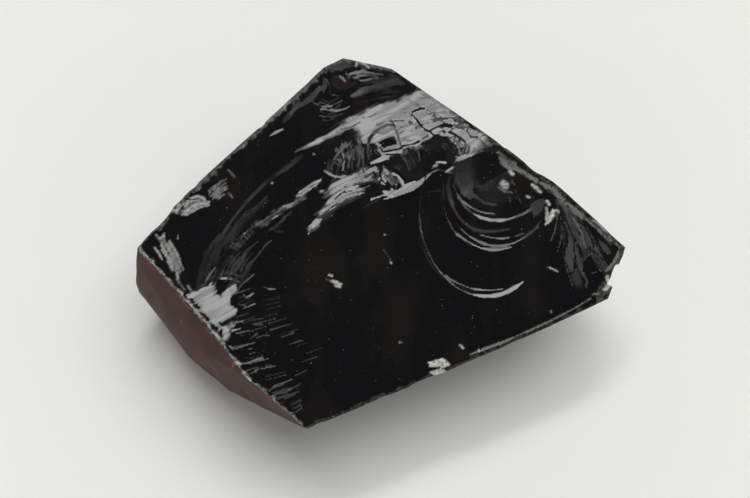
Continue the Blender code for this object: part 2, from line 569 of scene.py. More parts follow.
# Thin curved lines across the flat scar.
SCAR_MARKS = (
    *strands((PALE, PALE, GREY), ((376, 112), (372, 122), (370, 134)), ((436, 103), (462, 120), (400, 128)),
             7, 0.5, bend=-0.06, seed=1),
    *strands((PALE, PALE, GREY), ((400, 100), (412, 108), (430, 118)), ((448, 108), (470, 126), (488, 143)),
             6, 0.5, bend=-0.05, seed=2),
    *strands((PALE, GREY), ((318, 139), (334, 131), (350, 122)), ((352, 126), (366, 120), (384, 110)), 4,
             0.45, bend=-0.04, seed=3),
    *strands((DIM, GREY), ((440, 112), (452, 120), (462, 130)), ((470, 132), (482, 141), (490, 149)), 4, 0.5,
             bend=-0.1, seed=4),
    stroke(BLACK, (411, 114.3, 0.5), (415, 112.5, 0.8), (420, 111, 0.8), (426, 110.3, 0.3), edge=1.2),
    stroke(PALE, (426, 110.5, 0.5), (434, 110, 0.5), (446, 110.5, 0.4)),
    stroke(PALE, (413, 116, 0.4), (424, 116.5, 0.5), (436, 115, 0.4), (446, 114, 0.3)),
    stroke(GREY, (428, 122, 0.4), (438, 121, 0.5), (447, 119.5, 0.4)),
    stroke(PALE, (416, 99, 0.4), (422, 101, 0.6), (429, 100, 0.5)),
    stroke(PALE, (420, 96, 0.4), (426, 99, 0.5), (430, 102, 0.4)),
    stroke(GREY, (455, 123, 0.4), (461, 126, 0.5)),
    stroke(PALE, (462, 127, 0.5), (470, 131, 0.7), (477, 136, 0.5)),
    stroke(GREY, (455, 129, 0.4), (460, 130, 0.5), (464, 132, 0.5)),
    stroke(PALE, (372, 121, 0.4), (384, 116, 0.5), (397, 113, 0.4)),
    stroke(DIM, (377, 125, 0.5), (384, 122, 0.8), (391, 122.5, 0.8), (395, 125, 0.6), edge=1.4),
    stroke(GREY, (398, 122.5, 0.5), (403, 121, 0.6), (408, 121, 0.6), (411, 123, 0.4)),
)

# The ledges at its foot: dark and bright panes between thin steps.
LEDGES = (
    pane(DIM, (326, 168), (329, 156), (338, 144), (348, 139), (352, 129), (358, 130), (361, 138), (363, 150),
         (365, 163), (352, 169), (340, 174), (330, 172), soft=0.5, ragged=0.2, grain=1.4, lie_deg=100.0,
         fray=0.3, hair=0.25),
    *strands((BLACK, BLACK, DIM, GREY), ((330, 160), (338, 146), (350, 138), (358, 131)),
             ((331, 173), (342, 173), (352, 168), (364, 162)), 20, 0.9, bend=0.08, seed=5),
    *strands((PALE, GREY), ((340, 150), (352, 138), (358, 131)), ((340, 173), (352, 168), (364, 162)), 5,
             0.6, bend=0.06, seed=6),
    stroke(GREY, (331, 166, 0.6), (335, 155, 1), (343, 146, 1), (350, 142, 0.6), hair_length=1.0),
    stroke(DIM, (336, 170, 0.8), (343, 158, 1.2), (352, 147, 1)),
    stroke(GREY, (357.5, 133, 0.9), (359, 143, 1), (361, 153, 0.9), (364, 162, 0.7)),
    pane(BLACK, (361, 141.5), (367.5, 141.5), (374, 141.5), (377, 144), (380, 150), (383, 154), (375, 158.5),
         (366, 162), (363, 154)),
    pane(BRIGHT, (360.5, 134), (364, 138), (367.5, 141), (362, 141)),
    stroke(BLACK, (368.5, 142, 1.4), (369.5, 137.5, 1.7), (373, 133, 1.6), (378, 129.5, 1.3), edge=1.4),
    stroke(DIM, (374, 131, 1.4), (381, 127, 1.6), (388, 125, 1.4), (394, 126, 1), edge=1.4),
    stroke(GREY, (372, 133, 0.5), (378, 129.5, 0.7), (385, 127.5, 0.6)),
    stroke(DIM, (389, 124.8, 0.9), (394, 127, 1.1), (397, 133, 1.1), (399.5, 140, 1.1), (402.5, 147, 1),
           (405, 152, 0.7), edge=1.4),
    stroke(FULL, (374, 140, 0.6), (380, 136, 1), (387, 133.2, 1.1), (394, 131.5, 0.8)),
    stroke(PALE, (379, 132.5, 0.5), (385, 129.8, 0.7), (391, 128.8, 0.6)),
    pane(BLACK, (377.5, 141), (384, 137.5), (395, 134.5), (398, 143), (388, 144.5), (383, 147.5)),
    stroke(BLACK, (380, 146, 0.6), (383, 151, 0.7), (387, 157, 0.5)),
    stroke(BRIGHT, (379, 148, 0.5), (382, 153, 0.6), (385, 158, 0.5)),
    stroke(BRIGHT, (383, 151, 0.5), (386, 155, 0.6), (389, 159, 0.5)),
    pane(FULL, (383.5, 147.3), (391, 144.3), (399, 143), (400.5, 145.3), (392, 147.8), (385, 149.3)),
    stroke(BLACK, (384, 150.3, 0.5), (392, 149, 0.6), (400.5, 147, 0.5)),
    pane(FULL, (386, 151.8), (393, 149.6), (401, 148.6), (402.5, 150.8), (396, 153.3), (388.5, 155)),
    stroke(BLACK, (386, 153, 0.4), (392, 153, 0.5), (398, 152.5, 0.4)),
    pane(FULL, (368.5, 161), (376, 158), (383, 155), (386.5, 158), (380, 160.2), (371.5, 163)),
    pane(FULL, (400, 134.5), (405, 133.3), (410, 133.3), (414, 136), (416, 140), (411, 142.5),
         (402.5, 143.8)),
    stroke(DIM, (400, 133.8, 0.5), (403, 132, 0.7), (409, 131.4, 0.7), (413.5, 132.6, 0.5), edge=1.0),
    stroke(BLACK, (403, 144.8, 0.4), (408, 143.8, 0.5), (414, 143.3, 0.5), (419, 142, 0.4), edge=1.0),
    stroke(BLACK, (404, 148.5, 0.4), (407, 147, 0.5), (410, 150, 0.4)),
    stroke(BLACK, (409, 146.5, 0.4), (412, 150, 0.6)),
    stroke(BLACK, (413, 146, 0.4), (416, 149, 0.6)),
    stroke(PALE, (402, 140, 0.5), (408, 140, 0.6), (413, 141.5, 0.5)),
    stroke(DIM, (410.5, 116, 0.5), (413, 123, 1), (416.5, 130, 1.4), (420, 137, 1.3), (424, 143, 0.8),
           edge=1.4),
    stroke(GREY, (409.5, 114, 0.6), (411.5, 119, 0.8), (414, 125, 0.9), edge=1.2),
    pane(FULL, (410.5, 114.5), (413.5, 118.5), (418, 124.5), (424, 130.5), (432, 137.5), (427, 140.5),
         (422.5, 142.5), (418, 133), (413, 122)),
    stroke(BLACK, (412.5, 116.5, 0.4), (416.5, 121, 0.5), (420.5, 126.5, 0.6), (425, 130.5, 0.6),
           (430, 133.5, 0.8), (434, 136.5, 0.8), edge=1.0),
    stroke(BLACK, (431, 131.5, 0.4), (435.5, 129, 0.7), (441, 127.3, 0.9), (447, 127, 0.8),
           (452, 127.5, 0.5), edge=1.4),
    stroke(DIM, (441, 129, 0.8), (447, 129, 0.9), (453, 131, 0.9), edge=1.2),
    pane(PALE, (446.5, 137), (451, 137), (456, 139.5), (461, 143.5), (464.5, 147.5), (461, 149), (456, 146),
         (451, 142)),
    stroke(BLACK, (449, 134, 0.4), (455, 136.5, 0.5), (461, 140.5, 0.6), (465, 144.5, 0.6), (467, 149, 0.5),
           edge=1.2),
    stroke(DIM, (436, 133.5, 0.6), (442, 132.5, 0.8), (449, 133.5, 0.7), edge=1.2),
    pane(BLACK, (452, 143), (457, 146.5), (462, 149.5), (466, 147), (471, 151), (466, 153.5), (460, 156),
         (456.5, 158)),
    stroke(PALE, (457, 147, 0.4), (459, 151, 0.5), (460, 154, 0.4)),
    stroke(DIM, (479, 141.5, 0.5), (483, 145, 0.7), (486, 148.5, 0.6)),
    stroke(DIM, (480, 150.7, 0.4), (486, 149.8, 0.5), (490, 150, 0.4)),
    pane(BLACK, (386, 160.5), (392, 158), (400, 154.5), (408, 152.5), (416, 150), (421, 148.5), (421, 158),
         (424, 167), (430, 172), (424, 176), (416, 180), (409, 181.5), (404.5, 176), (399, 171), (391, 172),
         (387.5, 167)),
    stroke(FULL, (457.5, 160, 1.2), (462, 158.5, 1.8), (470, 155.5, 1.5), (477, 153.3, 1.3),
           (486, 152.8, 0.9)),
    pane(FULL, (373, 164.5), (378, 166), (382, 171), (386.5, 180), (385, 183), (380, 179.5), (375.5, 172)),
    stroke(DIM, (370.5, 163, 0.8), (372, 170, 1.3), (376, 178, 1.4), (381, 185, 1.4), (386, 190, 0.9)),
    stroke(BLACK, (378.5, 165, 0.6), (384.5, 171.5, 0.8), (387.5, 180, 0.9), (389.5, 188, 0.8)),
    stroke(BRIGHT, (384, 166, 0.5), (388, 172, 0.7), (389.5, 180, 0.8), (391.5, 187, 0.8), (395, 191, 0.6)),
    pane(BLACK, (389.5, 173), (394, 175), (398, 180), (400, 188), (395, 190), (391.5, 185)),
    stroke(GREY, (394, 177, 0.4), (396, 184, 0.6), (396, 190, 0.5)),
    stroke(FULL, (392, 172.3, 0.6), (397, 174, 1.1), (401.5, 179, 1.1), (404.5, 185, 1.1)),
    stroke(PALE, (398.5, 178, 0.5), (401.5, 184, 0.6), (401, 189, 0.5)),
    pane(FULL, (381, 188.5), (389, 190), (397, 189), (403, 186), (405, 182.5), (411, 181.5), (418, 180),
         (424, 176), (430, 171.5), (431.5, 174), (425, 180.5), (419, 186), (411, 190.5), (402, 193.2),
         (394, 195), (386, 193.8), fray=0.06),
    stroke(PALE, (430, 173, 0.8), (434, 171, 0.8), (438, 169.5, 0.6)),
    stroke(BRIGHT, (384, 197.5, 0.6), (390, 196, 0.9), (396, 195, 0.6)),
    *strands((GREY, PALE, BLACK), ((372, 165), (382, 163), (392, 172)), ((384, 187), (394, 189), (404, 187)),
             9, 0.7, bend=-0.1, seed=7),
    *strands((DIM, GREY), ((402, 146), (412, 144), (420, 146)), ((400, 156), (410, 154), (420, 151)), 6, 0.5,
             bend=0.05, seed=8),
    *strands((DIM, GREY, PALE), ((462, 144), (474, 146), (486, 149)), ((458, 158), (470, 154), (484, 152)),
             7, 0.6, bend=0.05, seed=9),
    *strands((GREY, DIM), ((436, 128), (448, 127), (460, 137)), ((442, 138), (456, 141), (468, 150)), 6, 0.5,
             bend=0.1, seed=10),
    *strands((GREY, DIM), ((363, 143), (372, 142), (380, 150)), ((364, 160), (373, 158), (382, 154)), 7, 0.8,
             bend=-0.06, seed=11),
    *strands((DIM, GREY), ((390, 162), (404, 156), (418, 150)), ((400, 170), (412, 174), (422, 168)), 6, 0.8,
             bend=0.05, seed=12),
)

# The pit between ledges and rings, black but for the chips on its lip.
PIT_MARKS = (
    pane(BLACK, (421, 158), (423, 150), (428, 141), (436, 136), (445, 137), (451, 143), (455, 151),
         (456, 160), (452, 165), (445, 165), (438, 168), (430, 171), (424, 167), soft=0.25, ragged=0.1),
    pane(PALE, (431.5, 167.5), (434, 163.5), (437.5, 161.5), (438, 164), (436.5, 167), (433, 168.5),
         tint=CRUSHED, tinted=0.5, soft=0.3, ragged=0.2),
    chip(BRIGHT, (437, 160.3, 0.6), (441, 161.3, 1.1), (445.5, 162.5, 0.7), tinted=0.5),
    stroke(GREY, (438, 169, 0.6), (442, 170.3, 0.9), (446, 170, 0.6)),
    chip(BRIGHT, (446, 171, 0.7), (449, 169.5, 1), (453, 167, 0.7), tinted=0.5),
    stroke(PALE, (446, 171.5, 0.5), (451, 172, 0.5)),
    stroke(FAINT, (443, 146, 0.6), (449, 153, 0.8), (452, 160, 0.8), (454, 165, 0.6)),
    stroke(FAINT, (451, 143, 0.8), (455, 150, 0.8), (457, 158, 0.6)),
)

# Where the rings of the bull's-eye turn to the lamp, and grey where they turn past it.
BULLS_EYE = (
    stroke(DIM, (453, 185, 0.5), (457, 193, 0.6), (463, 201.5, 0.8)),
    stroke(PALE, (463, 201.5, 0.8), (470, 207.5, 1), (478, 211.8, 1.2), (486, 214.3, 1.2), (494, 215, 0.8)),
    stroke(FAINT, (455, 175, 0.6), (454.5, 186, 0.7), (458, 197, 0.7)),
    stroke(GREY, (458, 197, 0.7), (465, 207.5, 0.9), (473, 214, 1.2)),
    stroke(BRIGHT, (473, 214, 0.9), (481, 218.3, 1.4), (490, 221, 1.6), (499, 221.8, 1.6), (508, 220.8, 1.3),
           (517, 218, 1)),
    stroke(GREY, (516, 218.3, 1.1), (525, 214.5, 1.2), (531, 210.5, 1.2), (536, 207.5, 0.9)),
    stroke(PALE, (480, 236, 0.5), (487, 238, 0.9), (495, 239.6, 1.2), (503, 240, 1.2), (509, 239, 0.8)),
    stroke(DIM, (515, 238, 0.6), (519, 236.5, 0.8), (523, 235, 0.9)),
    stroke(GREY, (457, 225, 0.5), (463, 231.5, 1), (471, 238.3, 1.1)),
    stroke(PALE, (470, 237.5, 1.1), (478, 242.5, 1.2), (487, 246.3, 1.4), (496, 247.8, 1.5),
           (505, 247.2, 1.4), (514, 244.5, 1.3), (523, 240, 1.2)),
    stroke(GREY, (522, 240.5, 1.2), (531, 234, 1.1), (538, 228, 1)),
    stroke(FAINT, (443, 180, 0.8), (443, 192, 0.9), (444, 205, 0.8), (447, 218, 0.9)),
    stroke(DIM, (447, 218, 0.9), (452, 228, 1.2), (458, 235.5, 1.4)),
    stroke(PALE, (457, 234.5, 1.2), (465, 240.5, 1.4), (473, 245.5, 1.2)),
    stroke(BRIGHT, (472, 245, 1), (481, 249.2, 1.3), (490, 251.3, 1.5), (498, 251.5, 1.3), (506, 250.3, 1),
           (512, 248.5, 0.6)),
    stroke(FAINT, (450, 176, 1.3), (448, 186, 1.8), (450, 198, 1.7), (454, 209, 1.6), (459, 218, 1.6),
           (466, 225, 1.8), (474, 230, 1.8), (484, 232.5, 1.8), (495, 232.5, 1.8), (508, 231, 1.4),
           tint=WARM, tinted=0.5, edge=1.0),
    stroke(DIM, (426, 176, 0.9), (421.5, 188, 0.9), (420, 202, 0.8), (419.5, 215, 0.8), (420.5, 228, 0.8)),
    stroke(GREY, (420.5, 227, 0.8), (423.5, 240, 0.9), (428, 252, 0.9), (434, 263.3, 1), (441, 273.5, 1.1)),
    stroke(PALE, (440, 272, 1), (449, 282, 1.1), (458, 289, 1), (468, 294, 0.9), (476, 296.5, 1)),
    stroke(FULL, (474, 296, 0.8), (484, 297.8, 1.5), (492, 297.6, 2.1), (500, 296.2, 2.2), (508, 293.3, 2),
           (516, 288.5, 1.7), (523, 283.5, 1)),
    stroke(PALE, (446, 276, 0.5), (451, 280, 0.8), (458, 284, 0.8), (467, 288, 0.8), (476, 290.7, 0.9)),
    stroke(BRIGHT, (474, 290.3, 0.6), (485, 291.5, 0.8), (495, 291.5, 0.6), (503, 290.5, 0.5)),
    stroke(FAINT, (421, 233, 0.5), (425, 245, 0.6), (431, 258, 0.5)),
    stroke(FAINT, (420, 193, 1.5), (430, 191, 1.8), (440, 190, 1.2)),
    stroke(FAINT, (428, 180, 1.5), (424, 190, 1.8), (421, 205, 1.2)),
    pane(DIM, (452, 168), (461, 158), (474, 154), (490, 154), (488, 168), (478, 186), (470, 200), (462, 194),
         (455, 182), soft=1.2, ragged=0.2, grain=0.3),
    pane(BLACK, (482, 146), (514, 146), (516, 200), (492, 212), (478, 204), (472, 186), (476, 164), soft=1.6,
         ragged=0.2),
    stroke(DIM, (456, 172, 1), (458, 184, 1.6), (465, 196, 1.2), edge=1.2),
    stroke(FAINT, (466, 185, 2), (473, 196, 2.2), (484, 204, 2), (496, 206, 1.4), edge=1.0),
    stroke(FAINT, (541, 222, 1), (534, 231, 1.4), (526, 238, 1.2), edge=1.0),
)

# Bright chips around the blow on the far right rim.
WHITE_CHIPS = (
    pane(PALE, (502, 181), (505, 178.5), (509, 180), (510.5, 184), (508, 188), (504, 187.5), tint=CRUSHED,
         tinted=0.7, soft=0.5, ragged=0.4, grain=0.6),
    stroke(GREY, (498, 186, 0.8), (505, 191, 1.4), (512, 192, 1), edge=1.2),
    chip(PALE, (532, 184, 0.6), (535, 186.5, 1.6), (538, 190, 1.8), (541, 193.5, 1.2), tinted=0.5),
    chip(PALE, (527, 196, 0.6), (529.5, 197.5, 0.8), tinted=0.6),
    chip(PALE, (510, 170, 0.7), (513, 173, 1.2), tinted=0.8),
    chip(BRIGHT, (547, 203, 1.2), (549, 206, 1.2), tinted=0.8),
    chip(PALE, (546, 209, 1), (547, 215, 1.6), (546, 221, 1.2), tinted=0.5),
    chip(FULL, (553, 212, 1.2), (552, 217, 1.8), (549, 222, 1.6), (545.5, 226, 0.8)),
    chip(PALE, (556, 212, 0.7), (558, 213.5, 0.7)),
    chip(BRIGHT, (548, 269, 0.5), (552, 271, 0.9), (557, 274, 0.6), tinted=0.6),
    stroke(FAINT, (507, 191, 0.7), (510, 199, 1), (511, 208, 0.8), (511, 214, 0.5)),
    stroke(FAINT, (515, 188, 0.5), (518, 196, 0.8), (521, 203, 0.6)),
    stroke(DIM, (512, 180, 0.6), (515, 184, 0.6)),
    pane(FAINT, (528, 205), (538, 200), (545, 199), (546, 208), (541, 216), (533, 220), soft=0.5, ragged=0.2),
)

# Pleats of the fan at the right tip.
FAN_MARKS = (
    pane(DIM, (553, 190), (561, 196), (569, 207), (577, 212), (584, 218), (577, 220), (583, 229), (590, 240),
         (596, 250), (602, 259), (606, 263), (601, 262), (594, 256), (588, 250), (583, 243), (577, 231),
         (572, 222), (568, 216), (572, 228), (576, 240), (580, 254), (583, 268), (582, 280), (579, 275),
         (576, 262), (573, 254), (574, 266), (573, 276), (571, 280), (567, 270), (563, 259), (564, 247),
         (566, 238), (565, 228), (562, 216), (557, 206), soft=0.6, ragged=0.2, fray=0.2, lie_deg=-65.0),
    stroke(FAINT, (584, 219, 1.6), (590, 225, 2.2), (598, 232, 2.2), (604, 240, 1.8), (610, 249, 1.2)),
    stroke(BRIGHT, (592, 222, 0.9), (600, 229, 1), (607, 237, 1), (612, 245, 0.8)),
    pane(FAINT, (569.5, 217), (574, 224), (579, 232), (584, 241), (588, 249), (590, 256), (586, 262),
         (584, 268), (581, 256), (577, 240), (573, 227)),
    pane(FAINT, (593, 234), (597, 239), (603, 246), (608, 253), (611, 257), (607, 261), (603, 256),
         (598, 248)),
    stroke(DIM, (557, 216, 0.5), (556, 225, 0.9), (554, 234, 1), (550, 243, 0.8)),
    stroke(DIM, (561, 220, 0.6), (562, 232, 0.9), (560, 244, 0.9), (557, 254, 0.7)),
    stroke(DIM, (565, 268, 0.7), (569, 280, 1), (572, 290, 0.6)),
    stroke(DIM, (583, 276, 0.8), (586, 285, 1.4), (585, 291, 1)),
    stroke(GREY, (588, 259, 0.7), (592, 256.5, 0.7)),
    stroke(GREY, (591, 277, 0.6), (595, 276, 0.8)),
    stroke(PALE, (598, 273, 1), (600, 275, 1)),
    stroke(DIM, (596, 262, 0.5), (598, 268, 0.6)),
    *strands((BLACK, FAINT), ((554, 200), (562, 208), (574, 216)), ((562, 282), (584, 280), (606, 258)), 10,
             0.8, bend=0.05, seed=31),
    *strands((GREY, DIM), ((560, 206), (570, 214), (582, 220)), ((574, 272), (590, 262), (604, 250)), 5, 0.6,
             bend=0.04, seed=32),
)

# The ground and crushed rim on the far right.
RIGHT_RIM = (
    stroke(FAINT, (498, 152, 1.5), (508, 161, 2.5), (520, 169, 2.5), (530, 176, 2.5), (541, 184, 2.6),
           (551, 191, 2.6), (560, 199, 2.4), (570, 208, 2), (580, 217, 1.5), (592, 228, 1.2),
           (603, 238, 1.2), (613, 246, 1.4), (619, 251, 1.4), tint=SMOKY, tinted=0.7, grain=1.0, hair=0.12,
           hair_length=0.5),
    stroke(GREY, (500, 158, 1.5), (506, 164, 1.6), (512, 168, 1), tint=SMOKY, grain=1.0, hair=0.12,
           hair_length=0.5),
    stroke(FAINT, (618, 254, 1.2), (616, 262, 1.6), (610, 269, 1.4), (605, 275, 1.2), tint=SMOKY),
    chip(BRIGHT, (606, 281, 1), (608, 289, 1.5), (604, 293, 1.5), tinted=0.7),
    stroke(GREY, (597, 297, 1.2), (592, 298, 1.2), tint=SMOKY),
)

# Streaks along the crest, where the face turns just far enough to mirror the lamp.
CREST_STREAKS = (
    pane(PALE, (253, 219), (257, 217.5), (263, 216.5), (270, 211.5), (274, 209.5), (276.5, 211.5),
         (272, 214), (268, 217.5), (267, 220), (271, 219.5), (268, 223.5), (262, 225), (257, 226),
         (254, 225), soft=0.7, ragged=0.3, fray=0.3),
    stroke(GREY, (270, 214, 0.9), (277, 210, 0.9), (283, 206, 1.1), (288, 203.5, 1.6)),
    pane(BRIGHT, (285, 206), (292, 200), (297, 193), (300, 188), (307, 183.5), (313, 180), (318, 178),
         (320, 177.5), (317, 181), (312, 186), (305, 193), (299, 198), (292, 203), (287, 206), soft=0.9,
         ragged=0.3, fray=0.4, grain=0.6),
    stroke(DIM, (317, 180, 0.8), (320, 177, 1), (323, 174, 0.8)),
    stroke(PALE, (252, 224, 0.8), (246, 229, 1), (240, 236, 1), (235, 243, 0.8)),
    stroke(DIM, (271, 226, 1.5), (277, 229, 2), (282, 229, 1.2)),
    stroke(FAINT, (283, 208, 1.2), (283, 216, 1.8), (279, 224, 1.8)),
    pane(FULL, (321, 188.5), (327, 186), (335, 180), (342, 175.5), (350, 171.5), (357, 168), (363, 165.5),
         (373, 166.5), (376, 180), (369, 181.5), (362, 183), (355, 187), (349, 191), (345, 195), (338, 200),
         (333, 204), (328, 210), (322, 217), (317, 224), (312, 228), (308, 227), (311, 222), (316, 216),
         (319, 210), (325, 203), (328, 198), (325, 196), (330, 190), (334, 187), (328, 188), soft=1.0,
         ragged=0.3, fray=0.4, grain=0.6),
    stroke(BRIGHT, (340, 200, 0.9), (345, 198, 1.2), (352, 194.5, 1.3), (358, 192, 1.2), (364, 190.5, 0.7)),
    stroke(GREY, (363, 168, 0.5), (366, 174, 0.6), (370, 180, 0.5)),
    stroke(PALE, (311, 226, 1.2), (308, 231, 1.2)),
    stroke(DIM, (363, 206, 1.2), (368, 203, 2.2), (374, 199, 2.2), (379, 196, 1.4)),
    stroke(FULL, (371, 197, 0.7), (376, 196, 0.9), (384, 193, 0.8), (393, 195, 0.5)),
    stroke(DIM, (372, 191, 0.4), (378, 199, 0.6), (383, 204, 0.4)),
    stroke(BRIGHT, (324, 168, 0.6), (328, 170.5, 1), (334, 173.5, 1.2), (340, 174.5, 1.2), (346, 173, 0.8)),
    *strands((PALE, GREY, BRIGHT, DIM), ((304, 229), (312, 212), (320, 192)),
             ((350, 196), (372, 184), (376, 168)), 16, 0.8, bend=0.04, seed=13),
    *strands((GREY, DIM), ((302, 236), (316, 218), (332, 206)), ((344, 204), (356, 196), (372, 190)), 10,
             0.7, bend=0.03, seed=14),
    *strands((BRIGHT, PALE, GREY), ((284, 209), (290, 200), (298, 190)),
             ((304, 194), (314, 184), (322, 176)), 9, 0.7, bend=0.03, seed=15),
    *strands((GREY, DIM, PALE), ((256, 228), (262, 222), (268, 210)), ((280, 212), (290, 206), (300, 194)),
             10, 0.6, bend=0.03, seed=16),
    *strands((DIM, GREY), ((262, 232), (274, 224), (284, 216)), ((276, 226), (288, 214), (298, 204)), 10,
             0.7, bend=0.02, seed=17),
)

# Broad faint bands on the falling side of the crest.
FAINT_ARCS = (
    stroke(DIM, (196, 290, 1.6), (198, 276, 2.6), (202, 262, 3.4), (206, 250, 3), (212, 240, 2.2),
           (219, 231, 1.4), grain=0.5),
    stroke(DIM, (204, 276, 1.4), (210, 256, 2.2), (218, 238, 2.4), (228, 222, 1.8), (236, 212, 1), grain=0.5),
    stroke(DIM, (222, 230, 1), (232, 216, 1.6), (245, 201, 2), (258, 188, 1.6), (270, 177, 1), grain=0.5),
    stroke(FAINT, (262, 182, 2.2), (277, 172, 3.2), (290, 163, 3.2), (302, 154, 1.6), grain=0.5),
    stroke(DIM, (276, 173, 1), (286, 167, 1.8), (296, 160, 1), grain=0.5),
    stroke(FAINT, (226, 238, 2.4), (240, 222, 3.8), (254, 208, 3.6), (268, 198, 2), grain=0.5),
    *strands((FAINT, DIM, DIM), ((204, 282), (216, 262), (232, 240)), ((232, 216), (250, 204), (276, 186)),
             10, 0.8, bend=0.06, seed=18),
)

# Short ticks across the falling side of the crest.
TICKS = (
    stroke(GREY, (233, 240, 0.5), (241, 244, 0.6)),
    stroke(GREY, (236, 236, 0.5), (241.5, 239.5, 0.6)),
    stroke(GREY, (240, 234, 0.5), (244.5, 239, 0.6)),
    stroke(GREY, (243, 232, 0.5), (246.5, 237, 0.6)),
    stroke(GREY, (246, 229, 0.5), (249.5, 234, 0.6)),
    stroke(GREY, (249, 225, 0.5), (252.5, 229.5, 0.6)),
    stroke(GREY, (251.5, 222, 0.5), (255, 226, 0.6)),
    stroke(GREY, (229, 243, 0.5), (236, 247, 0.6)),
    *strands((GREY, DIM), ((229, 241), (240, 230), (251, 219)), ((238, 249), (248, 239), (258, 228)), 13,
             0.4, seed=19),
)

# The bright patch at the near left end of the crest, and the streaks that rise from it.
NEAR_LEFT = (
    pane(FULL, (184, 290), (192, 286), (200, 284), (205, 280), (208, 277), (213, 280), (216, 284),
         (213, 290), (220, 288), (226, 284), (232, 282), (235, 284), (232, 290), (229, 294), (231, 300),
         (236, 303), (235, 312), (231, 318), (229, 325), (228, 332), (225, 337), (221, 333), (216, 327),
         (211, 323), (209, 317), (203, 311), (197, 303), (191, 297), soft=0.9, ragged=0.35, fray=0.4,
         grain=0.35),
    stroke(BLACK, (219, 319, 0.7), (222, 321, 1.2), (225, 318, 0.8)),
    stroke(BLACK, (221, 326, 0.5), (220, 330, 0.5)),
    stroke(FAINT, (206, 280, 2.5), (211, 270, 2), (216, 261, 1.4), (221, 253, 0.9), (225, 249, 0.5)),
    stroke(PALE, (213, 280, 1.5), (217, 270, 1.3), (221, 262, 1), (225, 256, 0.5)),
    stroke(GREY, (232, 271, 2), (237, 263, 2.8), (242, 255, 2.4), (247, 247.5, 1.6), (252, 243.5, 1),
           (257, 239, 0.6)),
    stroke(GREY, (239, 283, 1.2), (243, 273, 2.2), (248, 264, 1.8), (253, 258, 1), (258, 252, 0.8),
           (264, 244, 1.2), (268, 240, 1.6), (271.5, 238, 1.2)),
    stroke(PALE, (222, 267.5, 0.7), (229, 268, 0.9), (235, 271, 0.9), (239, 272.5, 0.5)),
    stroke(PALE, (219, 274, 0.7), (225, 274, 0.9), (232, 275, 1.2), (239, 278.5, 0.6)),
    stroke(PALE, (228, 281, 0.6), (234, 280, 0.8)),
    *strands((PALE, GREY, DIM), ((200, 284), (214, 280), (234, 292)), ((214, 262), (236, 262), (256, 272)),
             12, 1.0, bend=0.04, seed=20),
    *strands((GREY, DIM), ((206, 284), (218, 276), (234, 284)), ((224, 252), (240, 246), (262, 246)), 12,
             1.0, bend=0.04, seed=21),
    *strands((PALE, GREY, DIM, FAINT), ((228, 290), (234, 310), (228, 336)),
             ((250, 284), (260, 300), (252, 332)), 12, 0.5, seed=22),
    *strands((FAINT, FAINT, DIM), ((248, 286), (262, 300), (244, 334)), ((270, 282), (290, 296), (270, 326)),
             10, 0.6, seed=24),
)

# Crushed chips along the near right rim and in the middle of the face.
NEAR_SPOTS = (
    pane(BRIGHT, (425, 361), (432, 360.5), (437, 358.5), (443, 359.5), (449, 363), (450, 367), (443, 369),
         (437, 368), (430, 366), tint=CRUSHED),
    pane(PALE, (429, 371), (436, 370), (443, 369.5), (447, 372), (445, 376), (438, 378.5), (433, 374.5),
         tint=CRUSHED, tinted=0.8, grain=0.8),
    stroke(BLACK, (431, 364, 0.5), (438, 363, 0.6), (445, 365, 0.4)),
    chip(BRIGHT, (413, 392, 0.7), (416, 387, 0.9), (418, 384.5, 0.6)),
    chip(BRIGHT, (417.5, 389.5, 0.6), (421, 386, 1), (425, 383.5, 0.7)),
    chip(PALE, (424, 386, 0.6), (428, 382.5, 0.8)),
    chip(PALE, (430, 383, 0.5), (434, 380, 0.5)),
    chip(PALE, (329, 273, 0.6), (332, 274, 0.8), tinted=0.7),
    chip(BRIGHT, (332, 279.5, 0.7), (336, 281, 1.3), (341, 283, 0.9), tinted=0.8),
    chip(PALE, (336, 284, 0.5), (340, 285.5, 0.7), tinted=0.6),
    stroke(DIM, (326, 277, 0.6), (331, 280, 0.8)),
    chip(PALE, (460, 346, 0.6), (463, 349, 1), tinted=0.7),
    chip(PALE, (399.5, 342, 0.6), (401, 342.5, 0.6), tinted=0.7),
    chip(BRIGHT, (478.5, 351, 0.7), (479.5, 353, 0.7), tinted=0.7),
    stroke(DIM, (383, 248, 0.5), (389, 256, 0.5), (391, 263, 0.4)),
    stroke(FAINT, (388, 368, 0.6), (397, 378, 0.6), (404, 382, 0.5)),
    stroke(FAINT, (438, 299, 0.6), (444, 310, 0.6)),
    stroke(GREY, (470, 356, 1), (485, 350.5, 1.6), (500, 345.5, 1.6), (513, 340, 1), tint=SMOKY),
    stroke(FAINT, (513, 340, 1), (530, 333, 1.4), (550, 324, 1.2), (575, 311, 1), (590, 302, 0.8),
           tint=SMOKY),
)

